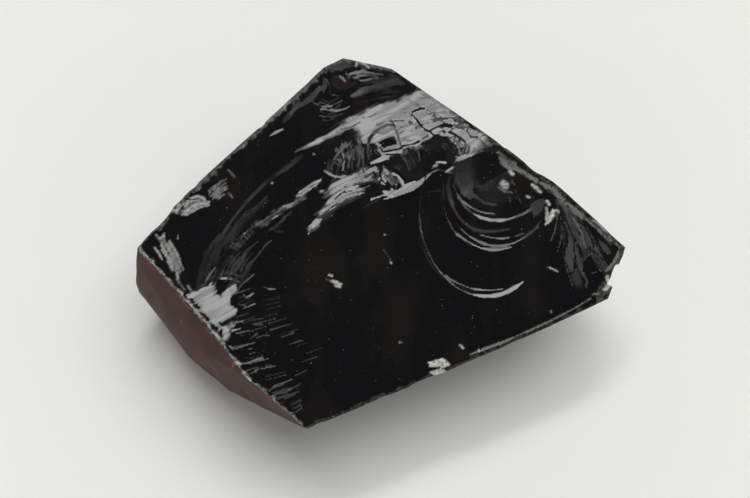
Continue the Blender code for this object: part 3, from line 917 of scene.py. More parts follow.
# Chips along the far left rim and in the left corner.
LEFT_CHIPS = (
    chip(PALE, (181, 208, 1), (187, 207, 1.8), (193, 204, 1.6), (199, 201, 1.6), (205, 200, 1.8),
         (209, 199, 0.9), tinted=0.4),
    chip(PALE, (184, 203, 0.8), (190, 203, 1.2), (197, 200, 0.9), tinted=0.4),
    chip(PALE, (187, 198, 0.6), (192, 198.5, 0.9), (198, 197, 0.6), tinted=0.4),
    chip(PALE, (191, 195, 0.8), (197, 193.5, 1.2), (203, 195, 1.2), (205, 199, 0.8), tinted=0.4),
    chip(PALE, (172, 206, 1), (176, 208, 1.4), (179, 204, 1), (178, 201, 0.8), tinted=0.4),
    chip(PALE, (182, 211, 0.6), (187, 211, 0.8), tinted=0.4),
    chip(FAINT, (209, 188, 0.8), (214, 184, 1.2), (220, 180.5, 1.2), (226, 177, 0.7), tinted=0.25),
    chip(DIM, (211, 193, 0.6), (217, 188.5, 1.2), (222, 185.5, 1.1), (226, 184, 0.6), tinted=0.3),
    chip(FAINT, (228, 168, 0.3), (231, 171, 0.6), (234, 175, 0.4), tinted=0.25),
    chip(FAINT, (228, 190, 0.3), (232, 195, 0.6), tinted=0.25),
    chip(PALE, (159, 235, 1), (162, 233, 1.6), (163, 229, 1), tinted=0.4),
    chip(DIM, (155, 231, 0.8), (160, 238, 1.2), (164, 243, 1.5), (166, 248, 1.2), tinted=0.3),
    chip(PALE, (154, 244, 0.8), (157, 248, 1.2), (161, 255, 0.8), tinted=0.4),
    chip(DIM, (167, 257, 1.2), (170, 260, 1.8), (171, 264, 1.4), tinted=0.3),
    chip(DIM, (175, 261, 1.5), (177, 268, 1.6), (176, 274, 1.4), (178, 278, 1), tinted=0.3),
    chip(FAINT, (177, 232, 0.4), (177, 235, 0.7), tinted=0.25),
    chip(DIM, (187, 281, 0.3), (190, 286, 0.7), tinted=0.3),
    chip(DIM, (180, 280, 0.5), (184, 286, 0.8), tinted=0.3),
    *strands((GREY, PALE, DIM), ((170, 206), (178, 212), (188, 210)), ((196, 194), (206, 196), (214, 200)),
             12, 0.7, bend=0.04, seed=50, tinted=0.25, tint=CRUSHED),
    *strands((DIM, GREY), ((206, 192), (210, 196), (214, 200)), ((222, 176), (228, 180), (230, 188)), 8, 0.7,
             bend=0.04, seed=51, tinted=0.2, tint=CRUSHED),
    *strands((GREY, PALE, DIM), ((154, 236), (160, 232), (166, 230)), ((176, 276), (180, 272), (184, 268)),
             9, 0.7, bend=0.04, seed=52, tinted=0.25, tint=CRUSHED),
    chip(FAINT, (236, 150, 0.6), (240, 146, 1.6), (245, 143, 1), tinted=0.3, ragged=0.8),
    chip(FAINT, (262, 125, 0.6), (266, 121, 2), (272, 118, 1.2), tinted=0.3, ragged=0.8),
    chip(FAINT, (278, 111, 0.8), (283, 107, 1.8), (290, 101, 0.8), tinted=0.3, ragged=0.8),
)

# Small scars on the knob at the far end.
KNOB = (
    pane(FAINT, (326, 71), (335, 65), (345, 61), (357, 62), (370, 66), (384, 72), (396, 78), (407, 87),
         (398, 84), (390, 80), (383, 77), (375, 74), (368, 71), (355, 70), (345, 70), (338, 71), (332, 74),
         soft=0.8, ragged=0.3),
    pane(BLACK, (331, 76), (336, 74), (343, 76), (349, 80), (358, 83), (352, 87), (344, 89), (337, 88),
         (332, 83), tint=WARM, soft=0.5, tinted=0.8),
    *strands((GREY, DIM, FAINT), ((348, 71), (352, 76), (356, 82)), ((372, 72), (386, 77), (390, 82)), 8,
             0.5, bend=0.06, seed=28),
    *strands((DIM, FAINT), ((312, 98), (316, 108), (322, 120)), ((346, 98), (351, 106), (346, 116)), 6, 0.45,
             bend=-0.12, seed=29),
    *strands((FAINT, FAINT, DIM), ((350, 84), (352, 92), (352, 104)), ((402, 84), (408, 89), (398, 98)), 6,
             1.2, bend=0.03, seed=30),
    stroke(PALE, (350, 74, 0.6), (355, 73.5, 1.2), (362, 73.5, 1.2), (369, 73.5, 0.8)),
    stroke(GREY, (357, 79.5, 0.6), (361, 81.5, 1.2), (368, 81, 1.2), (378, 79.5, 0.8)),
    stroke(GREY, (352, 77, 0.8), (362, 77, 1.2), (376, 77, 0.8)),
    stroke(FAINT, (346, 72, 1.4), (349, 77, 1.8)),
    stroke(PALE, (340, 75, 0.6), (343, 77, 1.2), (345, 80, 0.6)),
    stroke(FULL, (357, 64, 0.5), (356, 68, 0.8)),
    stroke(BRIGHT, (362, 64, 0.4), (366, 67, 0.7), (369, 70, 0.5)),
    stroke(DIM, (352, 96, 1.5), (361, 92.5, 2.6), (372, 88.5, 3), (385, 85.5, 3), (398, 83.5, 2.2),
           (404, 87, 1.2), edge=1.0),
    stroke(FAINT, (360, 84.5, 0.8), (375, 82, 1.6), (390, 80.5, 1.6), (398, 80.5, 1)),
    stroke(GREY, (312, 100, 0.4), (315, 103, 0.8), (318, 104, 0.6)),
    stroke(PALE, (320, 105, 0.6), (325, 106, 1.3), (331, 105.5, 0.8)),
    stroke(PALE, (321, 108, 0.4), (329, 109.2, 0.9), (337, 110.3, 1.3), (344, 109, 1.1), (349.5, 106.5, 0.7)),
    stroke(DIM, (319, 114.5, 0.4), (326, 116, 0.8), (334, 115.5, 0.9), (343, 113, 0.5)),
    stroke(DIM, (323, 118.5, 0.4), (328, 119.5, 0.9), (333, 118, 0.4)),
    stroke(PALE, (350, 116, 0.6), (353, 117.5, 1.2)),
    stroke(FAINT, (323, 92, 1.5), (325, 84, 2.5), (324, 78, 1.5)),
    stroke(DIM, (326, 78, 0.6), (330, 84, 0.9), (330, 92, 0.7)),
    stroke(DIM, (332, 94, 0.6), (340, 96, 0.8)),
    stroke(FAINT, (302, 104, 3), (312, 97, 4), (320, 88, 3)),
    stroke(FAINT, (284, 120, 2.5), (291, 112, 3), (299, 103, 2.5)),
    stroke(BRIGHT, (270, 134, 0.8), (276, 130.5, 1.4), (283, 127.5, 1)),
    stroke(DIM, (330, 127, 0.5), (340, 121, 0.8), (350, 115.5, 0.6)),
)

# Hackles: short fine ridges near the near left rim.
HACKLES = (
    stroke(PALE, (236, 362, 0.6), (243, 360.8, 1), (250, 359.7, 1.1), (256, 357, 1), (262, 355.5, 1.1)),
    stroke(DIM, (245, 369, 0.4), (252, 366, 0.6), (258, 364.5, 0.6)),
    stroke(GREY, (250, 371, 0.4), (256, 369.5, 0.6)),
    stroke(DIM, (232, 344, 0.8), (236, 342.5, 0.6), (243, 342, 0.9), (254, 340, 0.5)),
    stroke(PALE, (229, 343, 1.2), (232, 346, 1.2)),
    stroke(DIM, (250, 336, 0.3), (257, 330.5, 0.6)),
    stroke(DIM, (256, 335, 0.3), (262, 333, 0.7), (269, 333, 0.4)),
    stroke(DIM, (248, 318, 0.4), (255, 316.5, 0.8), (262, 315.5, 0.5)),
    stroke(PALE, (262, 284, 0.5), (268, 286, 0.8), (275, 287, 0.4)),
    stroke(DIM, (254, 322, 0.3), (262, 322, 0.5)),
    stroke(GREY, (236, 313, 0.4), (242, 311, 0.6)),
    stroke(PALE, (234, 319, 0.4), (242, 317.5, 0.7)),
    stroke(BRIGHT, (232, 327, 0.5), (240, 325, 0.6)),
    stroke(PALE, (242, 290, 0.6), (246, 294, 1), (250, 292, 0.9), (253, 290, 0.6)),
    stroke(DIM, (246, 298, 0.4), (252, 296, 0.6)),
    stroke(PALE, (238, 300, 0.5), (246, 303, 0.7)),
    stroke(GREY, (269, 389, 0.4), (276, 384, 0.8), (284, 380.5, 0.9), (292, 377.5, 0.5)),
    stroke(DIM, (295, 374, 0.3), (302, 371, 0.6), (307, 368.5, 0.3)),
    stroke(GREY, (272, 395, 0.8), (277, 392, 1.3), (283, 391, 0.9)),
    stroke(DIM, (283, 391.5, 0.5), (292, 387.5, 0.7), (301, 382, 0.4)),
    stroke(DIM, (270, 400, 1.2), (276, 397.5, 1.4), (283, 395.5, 1.3), (290, 393.5, 1.2), (299, 390.5, 0.7)),
    stroke(DIM, (277, 403, 0.4), (286, 401, 0.6)),
    stroke(DIM, (290, 413, 0.4), (297, 411, 0.6), (302, 407, 0.4)),
    stroke(PALE, (251, 381, 1.2), (256, 383, 1.2)),
    stroke(DIM, (330, 411, 0.4), (333, 416, 0.8)),
    *strands((GREY, DIM, FAINT), ((234, 345), (250, 368), (272, 398)), ((256, 338), (280, 362), (300, 390)),
             12, 0.45, seed=25),
    *strands((DIM, FAINT), ((262, 388), (274, 400), (290, 414)), ((282, 382), (296, 392), (310, 404)), 8,
             0.45, seed=26),
    *strands((FAINT, FAINT, DIM), ((262, 318), (280, 340), (300, 362)), ((284, 312), (306, 332), (330, 352)),
             8, 0.45, seed=27),
)

# Coarser grains of dust.
SPECKS = (
    chip(GREY, (313.5, 152, 0.5), (314.3, 152.8, 0.6), tinted=0.5, edge=0.3),
    chip(GREY, (271.5, 180.5, 0.5), (272.3, 181.3, 0.6), tinted=0.5, edge=0.3),
    chip(GREY, (384, 233, 0.5), (384.8, 233.8, 0.6), tinted=0.5, edge=0.3),
    chip(GREY, (391, 262, 0.5), (391.8, 262.8, 0.6), tinted=0.5, edge=0.3),
    chip(GREY, (550, 314, 0.5), (550.8, 314.8, 0.6), tinted=0.5, edge=0.3),
)

MARKS = (
    *SCAR_PANE,
    *SCAR_MARKS,
    *LEDGES,
    *PIT_MARKS,
    *BULLS_EYE,
    *WHITE_CHIPS,
    *FAN_MARKS,
    *RIGHT_RIM,
    *CREST_STREAKS,
    *FAINT_ARCS,
    *TICKS,
    *NEAR_LEFT,
    *NEAR_SPOTS,
    *LEFT_CHIPS,
    *KNOB,
    *HACKLES,
    *SPECKS,
)


# The glossy face.


@dataclass(frozen=True)
class Ring:
    """One ring of the bull's-eye: a small step down inside part of a circle."""

    centre: Point
    radius: float
    depth: float
    width: float
    from_deg: float
    to_deg: float
    fade_deg: float = 22.0

    def drop(self, x: Array, y: Array) -> Array:
        """How far the ring lowers each place."""
        east, north = x - self.centre[0], y - self.centre[1]
        middle, half = 0.5 * (self.from_deg + self.to_deg), 0.5 * (self.to_deg - self.from_deg)
        off = np.abs((np.degrees(np.arctan2(north, east)) - middle + 540.0) % 360.0 - 180.0)
        fade = eased((half - off) / self.fade_deg + 0.5)
        return self.depth * fade * eased((self.radius - np.hypot(east, north)) / self.width)


RINGS = (
    Ring((13.15, -0.6), 8.05, 0.13, 0.75, 175.0, 318.0),
    Ring((12.6, -2.02), 5.9, 0.035, 0.35, 225.0, 285.0),
    Ring((14.4, 3.95), 6.75, 0.125, 0.62, 160.0, 335.0),
    Ring((14.68, 6.4), 7.85, 0.045, 0.35, 240.0, 310.0),
    Ring((15.1, 6.35), 5.70, 0.125, 0.62, 150.0, 330.0),
)


@dataclass(frozen=True)
class Scoop:
    """A small round hollow in the face."""

    centre: Point
    radius: float
    depth: float

    def drop(self, x: Array, y: Array) -> Array:
        """How far it lowers each place."""
        share = np.hypot(x - self.centre[0], y - self.centre[1]) / self.radius
        return self.depth * np.clip(1.0 - share**2, 0.0, 1.0)


PIT = Scoop((7.3, 10.2), 2.1, 0.8)
BOWL = Scoop((16.9, 7.2), 5.0, 0.75)
SCOOPS = (
    PIT,
    BOWL,
    Scoop((-5.0, 21.0), 2.6, 0.5),
    Scoop((20.2, 8.6), 1.8, 0.5),
    Scoop((-25.9, 1.4), 2.2, 0.4),
    Scoop((6.8, -18.6), 1.8, 0.4),
    Scoop((29.6, -4.4), 1.4, 0.5),
)


@dataclass(frozen=True)
class Fan:
    """Pleats that spread from a blow at the right tip: a slope away from it for each direction."""

    root: Point = (22.3, 3.4)
    turn_deg: tuple[float, ...] = (
        -102.0, -97.0, -92.0, -88.0, -84.0, -72.5, -70.5, -69.0,
        -60.0, -50.0, -44.0, -40.0, -34.0, -30.0, -24.0, -18.0,
    )
    slope: tuple[float, ...] = (
        0.0, 0.012, 0.0, 0.014, 0.0, 0.055, 0.035, 0.045,
        -0.005, 0.05, 0.02, 0.045, 0.0, 0.03, 0.0, 0.0,
    )
    starts: Point = (0.3, 1.5)
    ends: Point = (11.5, 4.0)

    def drop(self, x: Array, y: Array) -> Array:
        """How far the pleats lower each place."""
        east, north = x - self.root[0], y - self.root[1]
        away = np.hypot(east, north)
        slope = np.interp(np.degrees(np.arctan2(north, east)), self.turn_deg, self.slope)
        fade = eased((away - self.starts[0]) / self.starts[1])
        return slope * away * fade * eased((self.ends[0] - away) / self.ends[1])


@dataclass(frozen=True)
class Scar:
    """The flat scar behind the crest, tilted to mirror the lamp, and the line of its foot in t and s."""

    height: float = 17.60
    slope: Point = (0.022, -0.001)
    foot_t: tuple[float, ...] = (-1.6, 3.3, 5.9, 6.6, 9.3, 9.7, 11.2, 12.0, 14.4, 14.9, 17.0, 18.9, 22.0)
    foot_s: tuple[float, ...] = (34.4, 33.2, 33.3, 31.2, 30.9, 30.2, 27.4, 26.0, 25.6, 22.9, 22.3, 21.2, 19.5)
    soft_t: tuple[float, ...] = (-2.0, 6.0, 11.0, 12.5)
    soft: tuple[float, ...] = (0.5, 2.2, 2.2, 0.4)
    ragged: float = 0.25
    ragged_mm: float = 1.0 / 1.3

    def plane(self, x: Array, y: Array) -> Array:
        """Its height."""
        return self.height + self.slope[0] * x + self.slope[1] * y

    def behind(self, x: Array, y: Array) -> Array:
        """How far each place lies behind its foot, from 0 to 1."""
        t, s = AXES.to_ts(x, y)
        foot = np.interp(t, self.foot_t, self.foot_s)
        foot = foot + self.ragged * value_noise(t / self.ragged_mm, 0.0, 3)
        return eased((s - foot) / np.interp(t, self.soft_t, self.soft) + 0.5)


@dataclass
class GlossyFace:
    """The fresh top fracture as a height over every place.

    The marks first give how much of the lamp each place mirrors. That is turned into slopes
    once, at the end, and the height is the one whose slopes come nearest to them.
    """

    step: float = 0.15
    reach: Point = (34.0, 29.0)
    height: float = 18.10
    slope: Point = (-0.045, 0.11)
    crest_from_blow: float = 17.0
    crest_reach: float = 13.0
    barrel_radius: float = 62.0
    scar: Scar = Scar()
    fan: Fan = Fan()
    # The rings' middle, how far out the face is held to its own slopes, and over what it eases.
    rings_held: Place = (14.5, 1.5, 9.6)
    # From this x on, the face is held to its own slopes too.
    tip_held: float = 20.0
    held_fade: float = 2.0
    base_weight: float = 0.10
    step_give: float = 0.7
    rounds: int = 14
    soften: int = 12
    margin: float = 1.5
    # Slopes this far off the lamp count as crest, and over what that eases.
    crest_off: Point = (0.13, 0.09)
    crest_waver: Point = (0.013, 3.0)
    # How far the crest is turned off the lamp, across it and along it.
    pushed: float = 0.09
    swayed: float = 0.26
    sway_waver: Place = (0.05, 0.45, 1.3)
    # Near the crest, a mark duller than this is turned off the lamp along it.
    along_from: Point = (0.7, 0.5)
    # The face turns by this share of the angle that it moves the mirrored place along the lamp.
    slide_share: float = 0.58
    # A place counts as marked once it mirrors this share of the lamp.
    marked_from: float = 0.03
    # How steeply the shine of a mark falls off towards its edge.
    fall_off: float = 1.7
    x: Array = field(init=False, repr=False)
    y: Array = field(init=False, repr=False)
    z: Array = field(init=False, repr=False)
    along_x: Array = field(init=False, repr=False)
    along_y: Array = field(init=False, repr=False)
    tints: dict[Tint, Array] = field(init=False, repr=False)

    def __post_init__(self) -> None:
        """Lays out the places and works out the height at each."""
        columns, rows = (round(2.0 * reach / self.step) + 1 for reach in self.reach)
        xs = np.arange(columns) * self.step - self.reach[0]
        ys = np.arange(rows) * self.step - self.reach[1]
        self.x, self.y = np.meshgrid(xs, ys, indexing="ij")
        self.tints = {tint: np.zeros(self.x.shape) for tint in Tint}
        self.carve()

    def window(self, laid: Array) -> tuple[slice, slice]:
        """The part of the grid around some places, so that a small mark is quick to work out."""
        low = ((laid.min(axis=0) - self.margin + np.array(self.reach)) / self.step).astype(int)
        high = ((laid.max(axis=0) + self.margin + np.array(self.reach)) / self.step).astype(int)
        return slice(max(low[0], 0), high[0] + 1), slice(max(low[1], 0), high[1] + 1)

    def barrel(self) -> Array:
        """Height of the low barrel that the face is, before anything breaks it up."""
        across = AXES.to_ts(self.x, self.y)[1] - self.crest_from_blow
        plane = self.height + self.slope[0] * self.x + self.slope[1] * self.y
        bent = np.minimum(across, self.crest_reach)
        return plane - (across**2 - (across - bent) ** 2) / (2.0 * self.barrel_radius)

    def off_crest(self, z: Array) -> tuple[Array, Array, Array]:
        """How far each place turns off the lamp, by the slopes of a surface.

        Args:
            z: The surface.

        Returns:
            How near it comes to the lamp from 0 to 1, on which side of it, and both slopes.
        """
        slopes = np.stack([softened(slope, self.soften) for slope in np.gradient(z, self.step)])
        lamp = mirror_slopes(self.x, self.y, 0.0)
        off = (slopes[0] - lamp[0]) * AXES.away[0] + (slopes[1] - lamp[1]) * AXES.away[1]
        waver, waver_mm = self.crest_waver
        off = off + waver * value_noise(AXES.to_ts(self.x, self.y)[0] / waver_mm, 0.0, 8)
        near, fade = self.crest_off
        return eased((near - np.abs(off)) / fade), np.where(off > 0.0, 1.0, -1.0), slopes

    def shines(self, z: Array, weight: Array) -> tuple[Array, Array]:
        """How much of the lamp each place mirrors, from every mark in turn.

        Args:
            z: The surface that the marks are laid on.
            weight: How firmly the surface keeps its slopes; each mark adds to it.

        Returns:
            The share of the lamp at each place, and how far the place is held dark by a mark.
        """
        shines, dark = np.zeros(z.shape), np.zeros(z.shape)
        for seed, mark in enumerate(MARKS):
            laid = VIEW.onto(mark.places, lambda at_x, at_y: self.sampled(z, at_x, at_y))
            near = self.window(laid)
            share, shine = mark.cover(laid, self.x[near], self.y[near], seed)
            if mark.tint:
                self.tints[mark.tint][near] = np.maximum(self.tints[mark.tint][near], mark.tinted * share)
            black = mark.shine == BLACK
            laid_on = 1.0 - (1.0 - share) ** self.fall_off if black else share**self.fall_off
            shines[near] += (shine - shines[near]) * laid_on
            dark[near] += (black - dark[near]) * laid_on
            edge = 4.0 * share * (1.0 - share)
            weight[near] = np.maximum(weight[near], mark.firm * share) * (1.0 - self.step_give * edge)
        return np.clip(shines, 0.0, 1.0), dark

    def held(self, barrel: Array) -> Array:
        """How firmly each place keeps its own slopes, before any mark is laid."""
        east, north, reach = self.rings_held
        weight = eased((reach - np.hypot(self.x - east, self.y - north)) / self.held_fade)
        weight = np.maximum(weight, eased((self.x - self.tip_held) / self.held_fade))
        in_scar = self.scar.behind(self.x, self.y) * (barrel > self.scar.plane(self.x, self.y) - 0.01)
        return np.maximum(np.maximum(self.base_weight, weight), in_scar)

    def plain_slopes(self, z: Array) -> Array:
        """The slopes of the face without its marks, turned off the lamp along the crest."""
        t, s = AXES.to_ts(self.x, self.y)
        keep, side, slopes = self.off_crest(z)
        lamp = mirror_slopes(self.x, self.y, 0.0)
        aside = (slopes[0] - lamp[0]) * AXES.crest[0] + (slopes[1] - lamp[1]) * AXES.crest[1]
        waver, waver_t, waver_s = self.sway_waver
        sway = self.swayed + waver * value_noise(t / waver_t, s / waver_s, 12)
        push, sway = side * self.pushed * keep, keep * (sway - np.minimum(aside, self.swayed))
        turned = [push * AXES.away[axis] + sway * AXES.crest[axis] for axis in range(2)]
        return slopes + np.stack(turned)

    def turned_slopes(self, smooth: Array, shines: Array) -> Array:
        """The slopes at which each place mirrors its share of the lamp.

        Args:
            smooth: The broad form, which tells on which side of the lamp a place lies.
            shines: The share of the lamp at each place.

        Returns:
            The slopes along x and y.
        """
        keep, side, _ = self.off_crest(smooth)
        across = 1.0 - keep * eased((self.along_from[0] - shines) / self.along_from[1])
        turn = side * off_lamp(shines**across, LAMP.half_short)
        slide = np.tan(np.radians(self.slide_share * off_lamp(shines ** (1.0 - across), LAMP.half_long)))
        slopes = mirror_slopes(self.x, self.y, turn)
        return np.stack([slopes[axis] + slide * AXES.crest[axis] for axis in range(2)])

    def carve(self) -> None:
        """Works out the slopes of every mark, and the height whose slopes come nearest to them."""
        x, y = self.x, self.y
        barrel, behind = self.barrel(), self.scar.behind(x, y)
        smooth = barrel * (1.0 - behind) + np.minimum(barrel, self.scar.plane(x, y)) * behind
        z = smooth - sum(one.drop(x, y) for one in RINGS) - self.fan.drop(x, y)
        weight = self.held(barrel)
        cut, along = np.stack(np.gradient(z, self.step)), self.plain_slopes(z)
        shines, dark = self.shines(z, weight)
        turned = self.turned_slopes(smooth, shines)
        marked = eased(shines / self.marked_from)
        self.along_x, self.along_y = along + (turned - along) * np.maximum(marked, dark)
        cut += (turned - cut) * marked
        height = z.copy()
        for _ in range(self.rounds):
            now = np.gradient(height, self.step)
            height += self.from_slopes(weight * (cut[0] - now[0]), weight * (cut[1] - now[1]))
        height += (z - height).mean() - sum(one.drop(x, y) for one in SCOOPS)
        self.z = height - PRESSED * np.maximum(height - HIGHEST, 0.0)

    def sampled(self, values: Array, x: Array, y: Array) -> Array:
        """Values of the grid at any places, by bilinear interpolation."""
        column = np.clip((x - self.x[0, 0]) / self.step, 0.0, self.x.shape[0] - 1.001)
        row = np.clip((y - self.y[0, 0]) / self.step, 0.0, self.y.shape[1] - 1.001)
        left, low = column.astype(int), row.astype(int)
        across, up = column - left, row - low
        near = values[left, low] * (1.0 - across) + values[left + 1, low] * across
        far = values[left, low + 1] * (1.0 - across) + values[left + 1, low + 1] * across
        return near * (1.0 - up) + far * up

    def from_slopes(self, along_x: Array, along_y: Array) -> Array:
        """The height whose slopes come nearest to the given ones, by a Fourier transform.

        Args:
            along_x: Slope along x at each place.
            along_y: Slope along y at each place.

        Returns:
            The height, with its mean at 0.
        """
        columns, rows = along_x.shape
        spread = np.zeros((columns, rows))
        east = 0.5 * (along_x[1:, :] + along_x[:-1, :]) * self.step
        north = 0.5 * (along_y[:, 1:] + along_y[:, :-1]) * self.step
        spread[:-1, :] += east
        spread[1:, :] -= east
        spread[:, :-1] += north
        spread[:, 1:] -= north
        mirrored = np.block([[spread, spread[:, ::-1]], [spread[::-1, :], spread[::-1, ::-1]]])
        bend_x = 2.0 * np.cos(math.pi * np.arange(2 * columns) / columns) - 2.0
        bend_y = 2.0 * np.cos(math.pi * np.arange(rows + 1) / rows) - 2.0
        bend = bend_x[:, None] + bend_y[None, :]
        bend[0, 0] = 1.0
        return np.fft.irfft2(np.fft.rfft2(mirrored) / bend, s=mirrored.shape)[:columns, :rows]


# The lump.

# Below a rim, the rings of a side fracture grow to their full height over this distance.
RING_FADE = 5.0

# Small chips along a rim reach this far down the side fracture, in millimetres.
CHIP_DEPTH = 1.6

# Only the stronger part of the noise breaks out as a chip.
CHIP_FROM = 0.1


@dataclass(frozen=True)
class Rim:
    """A band just under a rim where the glass is thin or crushed."""

    tint: Tint
    width: float
    tinted: float


@dataclass(frozen=True)
class Break:
    """One side fracture, hung from the edge that it shares with the surface above it."""

    name: str
    start: Place
    end: Place
    lean: float
    reach: float
    hollow: float = 0.5
    blow: Point = (0.0, 0.0)
    ring_gap: float = 4.0
    ring_height: float = 0.08
    rim: Rim | None = None
    bow: float = 0.0
    span: Point = (136.0, 70.0)
    chips: float = 0.22
    chip_size: float = 1.3
    # Whether the side takes a matte brown that is a painted reflection of warm reddish surroundings.
    painted_brown: bool = False

    @property
    def length(self) -> float:
        """Length of the edge."""
        return (Vector(self.end) - Vector(self.start)).length

    def placed(self) -> Matrix:
        """Puts u along the edge, v up the surface and w out of the lump."""
        along = (Vector(self.end) - Vector(self.start)).normalized()
        level = Vector((along.y, -along.x, 0.0)).normalized()
        rise = level.cross(along).normalized()
        lean = math.radians(self.lean)
        out = level * math.cos(lean) + rise * math.sin(lean)
        turned = Matrix((along, out.cross(along), out)).transposed().to_4x4()
        return Matrix.Translation((Vector(self.start) + Vector(self.end)) / 2.0) @ turned

    def stands_out(self, u: Array, v: Array) -> Array:
        """How far the fracture stands out of its own plane; v runs up past its edge."""
        fall = np.clip(-v / self.reach, 0.0, 1.0)
        hollow = -4.0 * self.hollow * fall * (1.0 - fall)
        bow = self.bow * np.clip(1.0 - (2.0 * u / self.length) ** 2, -1.0, 1.0)
        ring = np.hypot(u - self.blow[0], v - self.blow[1]) / self.ring_gap
        rings = self.ring_height * eased(-v / RING_FADE) * np.sin(2.0 * math.pi * ring)
        chipped = rough_noise(u / self.chip_size, v / self.chip_size, 2, len(self.name)) - CHIP_FROM
        chipped = self.chips * np.clip(chipped, 0.0, 1.0) * eased(1.0 - np.abs(v) / CHIP_DEPTH)
        return hollow + bow + rings - chipped

    def depth_under(self, places: Array) -> Array:
        """How far inside the lump each place lies, measured square to the fracture.

        Args:
            places: Places in millimetres, one row each.

        Returns:
            The depth of each place, which is 0 on the fracture itself.
        """
        flat = np.array(self.placed().inverted())
        local = places @ flat[:3, :3].T + flat[:3, 3]
        return self.stands_out(local[:, 0], local[:, 1]) - local[:, 2]


# Edges run anticlockwise seen from above, so that the outside is on the right of each.
# A positive lean flares outwards below the edge, and a negative one cuts back under it.
BREAKS = (
    Break(
        "far_right_side", (30.4, -1.4, 14.9), (1.5, 22.5, 17.0), -3.0, 11.0, 0.7, (-6.0, 0.0), 4.5, 0.12,
        Rim(Tint.SMOKY, 0.5, 0.6),
    ),
    Break("far_shoulder", (6.0, 18.5, 16.5), (-0.6, 23.8, 16.0), -6.0, 9.0, 0.3, (2.0, 0.0), 3.0, 0.05),
    Break(
        "far_tip", (1.2, 22.5, 16.0), (-5.8, 24.9, 16.0), 4.0, 9.0, 0.3, (2.0, 0.0), 3.0, 0.05,
        Rim(Tint.CRUSHED, 0.4, 0.2),
    ),
    Break(
        "far_tip_worn", (-3.4, 24.75, 16.0), (-7.2, 22.9, 16.0), 2.0, 9.0, 0.2, (2.0, 0.0), 3.0, 0.05,
        Rim(Tint.CRUSHED, 0.4, 0.2),
    ),
    Break(
        "far_left_side", (-5.0, 24.8, 15.5), (-24.0, 5.2, 16.7), -4.0, 11.0, 0.8, (5.0, 0.0), 4.0, 0.12,
        Rim(Tint.CRUSHED, 0.7, 0.22), bow=-0.1, chips=0.5, chip_size=1.6,
    ),
    Break(
        "far_left_turn", (-23.3, 6.1, 16.7), (-28.9, -1.2, 16.9), -2.0, 11.0, 0.5, (2.0, 0.0), 4.0, 0.06,
        Rim(Tint.CRUSHED, 0.4, 0.25),
    ),
    Break(
        "left_corner", (-28.9, -1.2, 16.9), (-29.4, -2.4, 16.9), 35.0, 6.0, 0.1, (0.0, 0.0), 2.0, 0.04,
        Rim(Tint.CRUSHED, 0.5, 0.5),
    ),
    # This side, the two near ones after it and the one under it take a matte brown that is a painted
    # reflection of warm reddish surroundings.
    Break(
        "rind_side", (-28.4, -2.2, 17.2), (-14.4, -20.5, 15.4), 12.0, 11.0, -0.9, (-8.0, -2.0), 5.0, 0.04,
        Rim(Tint.CRUSHED, 0.3, 0.7), painted_brown=True,
    ),
    Break(
        "near_facet", (-15.8, -18.9, 15.6), (-8.4, -24.9, 14.4), 0.0, 6.0, 0.1, (2.0, 0.0), 3.0, 0.03,
        Rim(Tint.CRUSHED, 0.25, 0.3), painted_brown=True,
    ),
    Break(
        "near_corner", (-18.6, -17.6, 6.9), (-8.4, -25.3, 14.0), -38.0, 9.0, 0.3, (2.0, 0.0), 3.0, 0.06,
        painted_brown=True,
    ),
    Break(
        "near_right_side", (-9.5, -25.4, 13.9), (28.4, -7.3, 13.2), -37.0, 17.0, 0.9, (4.0, 0.0), 4.5, 0.14,
        Rim(Tint.SMOKY, 0.4, 0.6), bow=0.3,
    ),
    Break(
        "right_tip", (27.8, -8.8, 13.4), (30.8, 0.0, 15.0), -22.0, 14.0, 0.3, (0.0, 0.0), 2.5, 0.05,
        Rim(Tint.SMOKY, 0.6, 0.8),
    ),
    Break(
        "right_notch", (27.8, -6.0, 13.6), (29.1, -3.4, 14.0), -25.0, 14.0, 0.0, (0.0, 0.0), 2.5, 0.0,
        Rim(Tint.SMOKY, 0.6, 0.8), span=(3.0, 40.0),
    ),
    Break(
        "under_rind", (-30.2, -3.6, 6.3), (-19.4, -16.4, 6.2), -48.0, 9.0, 0.4, (3.0, 0.0), 3.0, 0.06,
        painted_brown=True,
    ),
    Break("under_far_left", (-8.0, 22.6, 7.2), (-29.5, -3.0, 6.0), -42.0, 10.0, 0.5, (-4.0, 0.0), 3.5, 0.10),
    Break("under_far_right", (29.8, -2.6, 8.0), (-3.0, 24.6, 6.0), -40.0, 12.0, 0.8, (2.0, 0.0), 4.0, 0.12),
)


def graded(half: float, fine_from: float, fine_to: float, fine: float, coarse: float) -> Array:
    """Grid lines that are close together where it matters and wide apart elsewhere.

    Args:
        half: The lines run from minus this to plus this.
        fine_from: Where the close lines start.
        fine_to: Where they end.
        fine: Their spacing.
        coarse: The spacing elsewhere.

    Returns:
        The places of the lines, in order.
    """
    start, stop = max(fine_from, -half), min(fine_to, half)
    parts = [np.linspace(start, stop, max(2, round((stop - start) / fine) + 1))]
    if start > -half:
        parts.insert(0, np.linspace(-half, start, max(2, round((start + half) / coarse) + 1))[:-1])
    if stop < half:
        parts.append(np.linspace(stop, half, max(2, round((half - stop) / coarse) + 1))[1:])
    return np.concatenate(parts)


